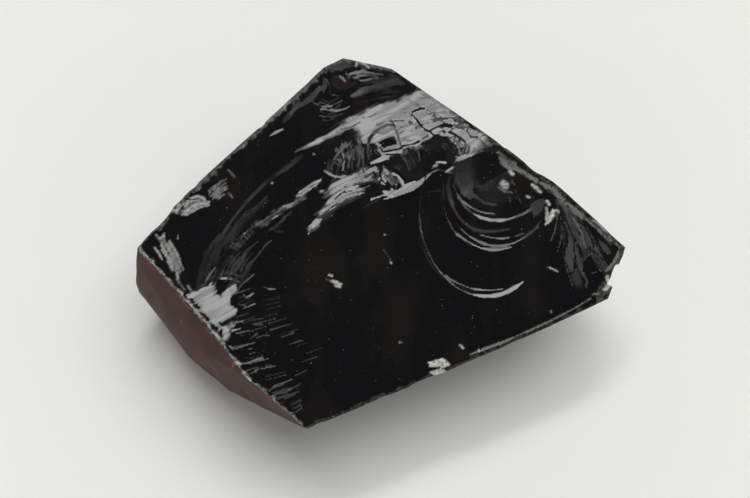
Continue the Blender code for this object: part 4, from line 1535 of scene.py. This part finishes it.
def block_on(surface: Array, lid: float, name: str) -> bpy.types.Object:
    """A closed block whose underside is a grid of places and whose top is flat.

    Args:
        surface: Places in millimetres, as columns by rows by three.
        lid: Height of the flat top, in the same frame.
        name: Name of the object.

    Returns:
        The object, in metres.
    """
    columns, rows = surface.shape[:2]
    index = np.arange(columns * rows).reshape(columns, rows)
    quads = np.stack([index[:-1, :-1], index[:-1, 1:], index[1:, 1:], index[1:, :-1]], axis=-1).reshape(-1, 4)
    corners = surface[[0, -1, -1, 0], [0, 0, -1, -1]].copy()
    corners[:, 2] = lid
    a, b, c, d = range(columns * rows, columns * rows + 4)
    walls = (
        [*index[:, 0], b, a],
        [*index[-1, :], c, b],
        [*index[::-1, -1], d, c],
        [*index[0, ::-1], a, d],
        [a, b, c, d],
    )
    loops = np.concatenate([quads.ravel(), *[np.array(wall) for wall in walls]])
    sizes = np.concatenate([np.full(len(quads), 4), [len(wall) for wall in walls]])
    places = np.vstack([surface.reshape(-1, 3), corners]) * MM
    mesh = bpy.data.meshes.new(name)
    mesh.vertices.add(len(places))
    mesh.vertices.foreach_set("co", places.ravel())
    mesh.loops.add(len(loops))
    mesh.loops.foreach_set("vertex_index", loops)
    mesh.polygons.add(len(sizes))
    mesh.polygons.foreach_set("loop_start", np.concatenate([[0], np.cumsum(sizes)[:-1]]))
    mesh.update(calc_edges=True)
    made = bpy.data.objects.new(name, mesh)
    bpy.context.scene.collection.objects.link(made)
    return made


def read(items: bpy.types.bpy_prop_collection, name: str, width: int = 1, kind: type = float) -> Array:
    """One value, or one row of values, of each vertex, loop or face of a mesh.

    Args:
        items: The vertices, loops or faces.
        name: Name of the value.
        width: How many numbers it has.
        kind: What sort of numbers.

    Returns:
        The values in order.
    """
    values = np.empty(len(items) * width, kind)
    items.foreach_get(name, values)
    return values.reshape(-1, width) if width > 1 else values


@dataclass
class Lump:
    """The chunk itself: a block broken by every fracture, and then by the glossy face."""

    face: GlossyFace
    block_size: Place = (67.0, 56.0, 26.0)
    side_step: float = 0.45
    coarse_step: float = 5.0
    fine_margin: float = 5.0
    lid: float = 32.0
    sharp_deg: float = 38.0
    snug: float = 0.01
    # Faces this close to a side with the painted brown reflection take it.
    painted_brown_depth: float = 0.12
    rim_grit: Place = (0.7, 0.5, 0.6)
    rim_fade: float = 0.4
    rim_seed: int = 60

    def block(self) -> bpy.types.Object:
        """The rough block, flat on its underside at Z = 0."""
        half_x, half_y = self.block_size[0] / 2.0, self.block_size[1] / 2.0
        xs, ys = np.meshgrid([-half_x, half_x], [-half_y, half_y], indexing="ij")
        return block_on(np.stack([xs, ys, np.zeros((2, 2))], axis=-1), self.block_size[2], "visual_chunk")

    def side_cutter(self, fracture: Break) -> bpy.types.Object:
        """The block that one side fracture takes away."""
        steps = (self.side_step, self.coarse_step)
        fine = fracture.length / 2.0 + self.fine_margin
        us = graded(fracture.span[0] / 2.0, -fine, fine, *steps)
        vs = graded(fracture.span[1] / 2.0, -fracture.reach - self.fine_margin, self.fine_margin, *steps)
        u, v = np.meshgrid(us, vs, indexing="ij")
        made = block_on(np.stack([u, v, fracture.stands_out(u, v)], axis=-1), self.lid, fracture.name)
        placed = fracture.placed()
        placed.translation *= MM
        made.data.transform(placed)
        return made

    def face_cutter(self) -> bpy.types.Object:
        """The block above the glossy face."""
        surface = np.stack([self.face.x, self.face.y, self.face.z], axis=-1)
        return block_on(surface, self.lid, "glossy_face")

    def below_face(self, places: Array) -> Array:
        """How far each place lies below the glossy face."""
        return self.face.sampled(self.face.z, places[:, 0], places[:, 1]) - places[:, 2]

    def turn_normals(self, mesh: bpy.types.Mesh) -> None:
        """Gives the glossy face the exact slopes of its marks, finer than its facets show."""
        places = read(mesh.vertices, "co", 3) / MM
        x, y = places[:, 0], places[:, 1]
        on_face = np.abs(self.below_face(places)) < self.snug
        owners = read(mesh.loops, "vertex_index", kind=int)
        starts = read(mesh.polygons, "loop_start", kind=int)
        whole = np.minimum.reduceat(on_face[owners].astype(int), starts) > 0
        on_top = np.repeat(whole, np.diff(np.append(starts, len(owners))))
        normals = read(mesh.corner_normals, "vector", 3)
        slopes = [self.face.sampled(along, x, y) for along in (self.face.along_x, self.face.along_y)]
        painted = np.stack([-slopes[0], -slopes[1], np.ones_like(x)], axis=-1)
        painted /= np.linalg.norm(painted, axis=1, keepdims=True)
        normals[on_top] = painted[owners[on_top]]
        mesh.normals_split_custom_set(normals.tolist())

    def tint(self, mesh: bpy.types.Mesh) -> None:
        """Writes down how far the glass turns to each tint, from the marks and along the rims."""
        places = read(mesh.vertices, "co", 3) / MM
        x, y, z = places.T
        below = self.below_face(places)
        on_face = eased(1.0 - below / self.snug)
        shares = {tint: self.face.sampled(self.face.tints[tint], x, y) * on_face for tint in Tint}
        level, upright, strength = self.rim_grit
        grit = rough_noise(x / level, y / level + z / upright, 3, self.rim_seed)
        for fracture in BREAKS:
            rim = fracture.rim
            if rim:
                reach = np.maximum(below, np.abs(fracture.depth_under(places)))
                near = eased((rim.width * (1.0 + strength * grit) - reach) / (self.rim_fade * rim.width))
                shares[rim.tint] = np.maximum(shares[rim.tint], rim.tinted * near)
        for tint, share in shares.items():
            stored = mesh.attributes.new(tint.value, "FLOAT", "POINT")
            stored.data.foreach_set("value", np.clip(share, 0.0, 1.0))

    def dress(self, mesh: bpy.types.Mesh) -> None:
        """Gives the near left sides a matte brown that is a painted reflection of warm reddish surroundings,
        and the rest fresh glass.
        """
        mesh.materials.clear()
        mesh.materials.append(FreshGlass().make())
        mesh.materials.append(PaintedBrownReflection().make())
        middles = read(mesh.polygons, "center", 3) / MM
        # Faces on the flagged sides, off the glossy face, take the matte brown that paints a reflection of
        # warm reddish surroundings.
        painted_brown_faces = np.zeros(len(middles), bool)
        for fracture in BREAKS:
            if fracture.painted_brown:
                painted_brown_faces |= np.abs(fracture.depth_under(middles)) < self.painted_brown_depth
        painted_brown_faces &= self.below_face(middles) > self.snug
        mesh.polygons.foreach_set("material_index", painted_brown_faces.astype(int))

    def build(self) -> bpy.types.Object:
        """Breaks the block and returns the finished mesh object."""
        lump = self.block()
        tools = [*[self.side_cutter(fracture) for fracture in BREAKS], self.face_cutter()]
        for tool in tools:
            step = lump.modifiers.new(tool.name, "BOOLEAN")
            step.operation = "DIFFERENCE"
            step.solver = "MANIFOLD"
            step.object = tool
        graph = bpy.context.evaluated_depsgraph_get()
        broken = bpy.data.meshes.new_from_object(lump.evaluated_get(graph))
        lump.modifiers.clear()
        lump.data = broken
        for tool in tools:
            bpy.data.objects.remove(tool)
        broken.shade_smooth()
        broken.set_sharp_from_angle(angle=math.radians(self.sharp_deg))
        self.tint(broken)
        self.dress(broken)
        self.turn_normals(broken)
        LOG.info("%s: %d vertices, %d faces", lump.name, len(broken.vertices), len(broken.polygons))
        return lump


# Finishes.


def linear(colour: str) -> tuple[float, float, float, float]:
    """Turns an sRGB hex colour to a linear one with full opacity."""
    shares = np.array([int(colour[place : place + 2], 16) for place in (1, 3, 5)]) / 255.0
    return (*np.where(shares <= 0.04045, shares / 12.92, ((shares + 0.055) / 1.055) ** 2.4), 1.0)


def plug(tree: bpy.types.NodeTree, socket: Socket, value: Value) -> None:
    """Links an output to an input, or sets the input to a value."""
    if isinstance(value, Socket):
        tree.links.new(value, socket)
    elif value is not None:
        socket.default_value = value


def add(tree: bpy.types.NodeTree, kind: str, *values: Value, output: str = "", **settings: str) -> Socket:
    """Adds a node with its settings and links.

    Args:
        tree: The node tree.
        kind: Type of the node, without the ShaderNode in front.
        *values: For each usable input in turn, a link or a value; None leaves it alone.
        output: Name of the output to give back, or nothing for the first usable one.
        **settings: Properties of the node.

    Returns:
        The output.
    """
    node = tree.nodes.new("ShaderNode" + kind)
    for name, value in settings.items():
        setattr(node, name, value)
    for socket, value in zip([each for each in node.inputs if each.enabled], values):
        plug(tree, socket, value)
    return node.outputs[output] if output else next(each for each in node.outputs if each.enabled)


def new_material(name: str) -> tuple[bpy.types.Material, bpy.types.NodeTree]:
    """A plain material and its node tree."""
    made = bpy.data.materials.new(name)
    made.use_nodes = True
    return made, made.node_tree


def shade(tree: bpy.types.NodeTree, **values: Value) -> None:
    """Links or sets inputs of a material's shader, by name with underscores for spaces."""
    for name, value in values.items():
        plug(tree, tree.nodes["Principled BSDF"].inputs[name.replace("_", " ")], value)


@dataclass(frozen=True)
class FreshGlass:
    """Obsidian, freshly broken: volcanic glass with no crystals.

    A fresh fracture is as smooth as a bottle, so that it mirrors the room in a clean black.
    Where an edge is crushed it turns to white powder, where it is thin some light comes
    through as smoky olive, and old flow bands show as a warm brown. Specks of stone dust
    lie on it in drifts, drawn coarser than real ones so that they show.
    """

    colour: str = "#0A080B"
    crushed: str = "#C4C3BC"
    smoky: str = "#4F4D43"
    warm: str = "#2A1E1E"
    banded: str = "#141210"
    roughness: float = 0.05
    film_roughness: float = 0.09
    crushed_roughness: float = 0.55
    ior: float = 1.5
    grit_mm: float = 0.35
    film_mm: float = 2.4
    band_mm: float = 5.0
    dust_mm: float = 0.3
    band_stretch: tuple[float, float, float] = (1.0, 0.4, 1.0)
    powder: Levels = (0.36, 0.64, 0.25, 1.0)
    haze: Levels = (0.3, 0.65, 0.2, 1.0)
    bands: Levels = (0.45, 0.65, 0.0, 1.0)
    drifts: Levels = (0.40, 0.60, 0.25, 1.0)
    dust: Levels = (0.72, 0.80, 0.0, 0.40)
    filmed: Point = (0.35, 0.7)
    smoky_dullness: float = 0.6

    def make(self) -> bpy.types.Material:
        """Makes the material."""
        made, tree = new_material("obsidian_fresh_fracture")
        place = add(tree, "TexCoord", output="Object")
        grit = add(tree, "TexNoise", place, per_metre(self.grit_mm), 5.0)
        film = add(tree, "TexNoise", place, per_metre(self.film_mm), 4.0)
        dust = add(tree, "TexNoise", place, per_metre(self.dust_mm), 2.0)
        flow = add(tree, "VectorMath", place, self.band_stretch, operation="MULTIPLY")
        bands = add(tree, "TexNoise", flow, per_metre(self.band_mm), 5.0)
        named = [add(tree, "Attribute", output="Fac", attribute_name=tint.value) for tint in Tint]
        crushed, smoky, warm = named
        powder = add(tree, "MapRange", grit, *self.powder, **EASED)
        crushed = add(tree, "Math", crushed, powder, **TIMES)
        haze = add(tree, "MapRange", grit, *self.haze, **EASED)
        smoky = add(tree, "Math", smoky, haze, **TIMES)
        drifts = add(tree, "MapRange", film, *self.drifts, **EASED)
        dust = add(tree, "MapRange", dust, *self.dust, **EASED)
        dust = add(tree, "Math", dust, drifts, **TIMES)
        crushed = add(tree, "Math", crushed, dust, operation="MAXIMUM")
        bands = add(tree, "MapRange", bands, *self.bands, **EASED)
        colour = linear(self.colour)
        layers = ((bands, self.banded), (warm, self.warm), (smoky, self.smoky), (crushed, self.crushed))
        for share, tinted in layers:
            colour = add(tree, "Mix", share, colour, linear(tinted), **COLOURS)
        dull = add(tree, "Math", smoky, self.smoky_dullness, **TIMES)
        dull = add(tree, "Math", crushed, dull, operation="MAXIMUM")
        gloss = add(tree, "MapRange", film, *self.filmed, self.roughness, self.film_roughness, **EASED)
        rough = add(tree, "MapRange", dull, 0.0, 1.0, gloss, self.crushed_roughness)
        shade(tree, Base_Color=colour, Roughness=rough, IOR=self.ior)
        return made


@dataclass(frozen=True)
class PaintedBrownReflection:
    """A matte mahogany-brown skin whose brown is a painted reflection of warm reddish surroundings, laid on
    as the sides' own colour.

    It scatters the light evenly, with darker clouds a few millimetres across, a fine grain,
    and bare white flecks where it was knocked.
    """

    colour: str = "#4A211A"
    clouded: str = "#2F1512"
    flushed: str = "#593028"
    fleck: str = "#A39A92"
    roughness: float = 0.7
    ior: float = 1.5
    cloud_mm: float = 3.5
    grain_mm: float = 0.22
    grain_depth_mm: float = 0.03
    grain_strength: float = 0.5
    fleck_mm: float = 0.55
    clear: Levels = (0.40, 0.62, 0.0, 1.0)
    flush: Levels = (0.58, 0.75, 0.0, 0.8)
    grained: Levels = (0.35, 0.7, 0.0, 0.35)
    flecked: Levels = (0.70, 0.75, 0.0, 0.6)
    bared: Levels = (0.45, 0.58, 0.0, 1.0)

    def make(self) -> bpy.types.Material:
        """Makes the material."""
        made, tree = new_material("painted_brown_reflection")
        place = add(tree, "TexCoord", output="Object")
        clouds = add(tree, "TexNoise", place, per_metre(self.cloud_mm), 5.0)
        grain = add(tree, "TexNoise", place, per_metre(self.grain_mm), 3.0)
        specks = add(tree, "TexNoise", place, per_metre(self.fleck_mm), 3.0)
        knocked = add(tree, "Attribute", output="Fac", attribute_name=Tint.CRUSHED.value)
        bare = add(tree, "MapRange", specks, *self.bared, **EASED)
        bare = add(tree, "Math", knocked, bare, **TIMES)
        flecked = add(tree, "MapRange", specks, *self.flecked, **EASED)
        flecked = add(tree, "Math", flecked, bare, operation="MAXIMUM")
        clear = add(tree, "MapRange", clouds, *self.clear, **EASED)
        flushed = add(tree, "MapRange", clouds, *self.flush, **EASED)
        grained = add(tree, "MapRange", grain, *self.grained, **EASED)
        colour = linear(self.clouded)
        layers = ((clear, self.colour), (flushed, self.flushed), (grained, self.clouded))
        for share, tinted in (*layers, (flecked, self.fleck)):
            colour = add(tree, "Mix", share, colour, linear(tinted), **COLOURS)
        bump = add(tree, "Bump", self.grain_strength, self.grain_depth_mm * MM, None, grain)
        shade(tree, Base_Color=colour, Normal=bump, Roughness=self.roughness, IOR=self.ior)
        return made


@dataclass(frozen=True)
class PaleCard:
    """Pale matte studio card, for the floor."""

    colour: str = "#ECECE9"
    roughness: float = 0.9
    specular: float = 0.1

    def make(self) -> bpy.types.Material:
        """Makes the material."""
        made, tree = new_material("pale_card")
        shade(tree, Base_Color=linear(self.colour), Roughness=self.roughness)
        shade(tree, Specular_IOR_Level=self.specular)
        return made


# The studio.


@dataclass(frozen=True)
class Studio:
    """The floor, the light and the camera."""

    surroundings: Surroundings = Surroundings()
    view: View = VIEW
    floor_half: float = 1500.0
    fill: float = 1.6
    fill_spread_deg: float = 60.0
    fill_turn_deg: Point = (-12.0, 14.0)
    clip_start: float = 10.0

    def place(self, made: bpy.types.Object) -> bpy.types.Object:
        """Puts an object in the scene."""
        bpy.context.scene.collection.objects.link(made)
        return made

    def floor(self) -> None:
        """A large plain card just under the lump."""
        half = self.floor_half * MM
        mesh = bpy.data.meshes.new("floor")
        corners = [(-half, -half, 0.0), (half, -half, 0.0), (half, half, 0.0), (-half, half, 0.0)]
        mesh.from_pydata(corners, [], [(0, 1, 2, 3)])
        mesh.materials.append(PaleCard().make())
        self.place(bpy.data.objects.new("floor", mesh))

    def camera(self) -> None:
        """The camera, looking down on the face."""
        data = bpy.data.cameras.new("camera")
        data.lens = self.view.lens
        data.sensor_width = self.view.sensor
        data.shift_x, data.shift_y = self.view.shift
        data.clip_start = self.clip_start * MM
        made = self.place(bpy.data.objects.new("camera", data))
        made.location = Vector(self.view.eye) * MM
        made.rotation_euler = (math.pi / 2.0 - math.radians(self.view.look_down_deg), 0.0, 0.0)
        bpy.context.scene.camera = made

    def glow(self, tree: bpy.types.NodeTree, towards: Socket, one: Glow) -> Socket:
        """How much light one bright area sends from each direction."""
        ahead, long, short = (
            add(tree, "VectorMath", towards, tuple(axis), operation="DOT_PRODUCT")
            for axis in (one.middle, one.along, one.across)
        )
        light = add(tree, "Math", ahead, 0.0, operation="GREATER_THAN")
        for side, half in ((long, one.half_long), (short, one.half_short)):
            off = add(tree, "Math", side, ahead, operation="ARCTAN2")
            off = add(tree, "Math", off, operation="DEGREES")
            off = add(tree, "Math", off, operation="ABSOLUTE")
            lit = add(tree, "MapRange", off, half, half + one.soft, 1.0, 0.0, **EASED)
            light = add(tree, "Math", light, lit, **TIMES)
        return add(tree, "Math", light, one.radiance, **TIMES)

    def world(self) -> None:
        """The pale room, worked out from the direction alone."""
        room = self.surroundings
        made = bpy.data.worlds.new("pale_room")
        made.use_nodes = True
        tree = made.node_tree
        tree.nodes.clear()
        towards = add(tree, "TexCoord", output="Generated")
        rise = add(tree, "VectorMath", towards, (0.0, 0.0, 1.0), operation="DOT_PRODUCT")
        rise = add(tree, "Math", rise, operation="ARCSINE")
        rise = add(tree, "Math", rise, operation="DEGREES")
        walls = (room.bright_to_deg, room.dark_from_deg, room.horizon, room.overhead)
        level = add(tree, "MapRange", rise, *walls, **EASED)
        above = add(tree, "Math", rise, 0.0, operation="GREATER_THAN")
        level = add(tree, "MapRange", above, 0.0, 1.0, room.below, level)
        for one in room.glows:
            level = add(tree, "Math", level, self.glow(tree, towards, one), operation="ADD")
        background = add(tree, "Background", None, level)
        plug(tree, tree.nodes.new("ShaderNodeOutputWorld").inputs["Surface"], background)
        bpy.context.scene.world = made

    def fill_light(self) -> None:
        """A broad overhead light for the floor and the matte skin, which the glass doesn't mirror."""
        data = bpy.data.lights.new("fill", "SUN")
        data.energy = self.fill
        data.angle = math.radians(self.fill_spread_deg)
        made = self.place(bpy.data.objects.new("fill", data))
        made.rotation_euler = (*np.radians(self.fill_turn_deg), 0.0)
        made.visible_glossy = False

    def build(self) -> None:
        """Sets up the whole studio."""
        self.floor()
        self.world()
        self.fill_light()
        self.camera()
        bpy.context.scene.view_settings.view_transform = "Standard"
        LOG.info("studio: floor, room, fill light and camera")


def main() -> None:
    """Builds the chunk and its studio."""
    logging.basicConfig(level=logging.INFO, format="%(message)s")
    face = GlossyFace()
    LOG.info("glossy_face: %d marks", len(MARKS))
    lump = Lump(face).build()
    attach(lump, BODY)
    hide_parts(NODE)
    Studio().build()


if __name__ == "__main__":
    main()
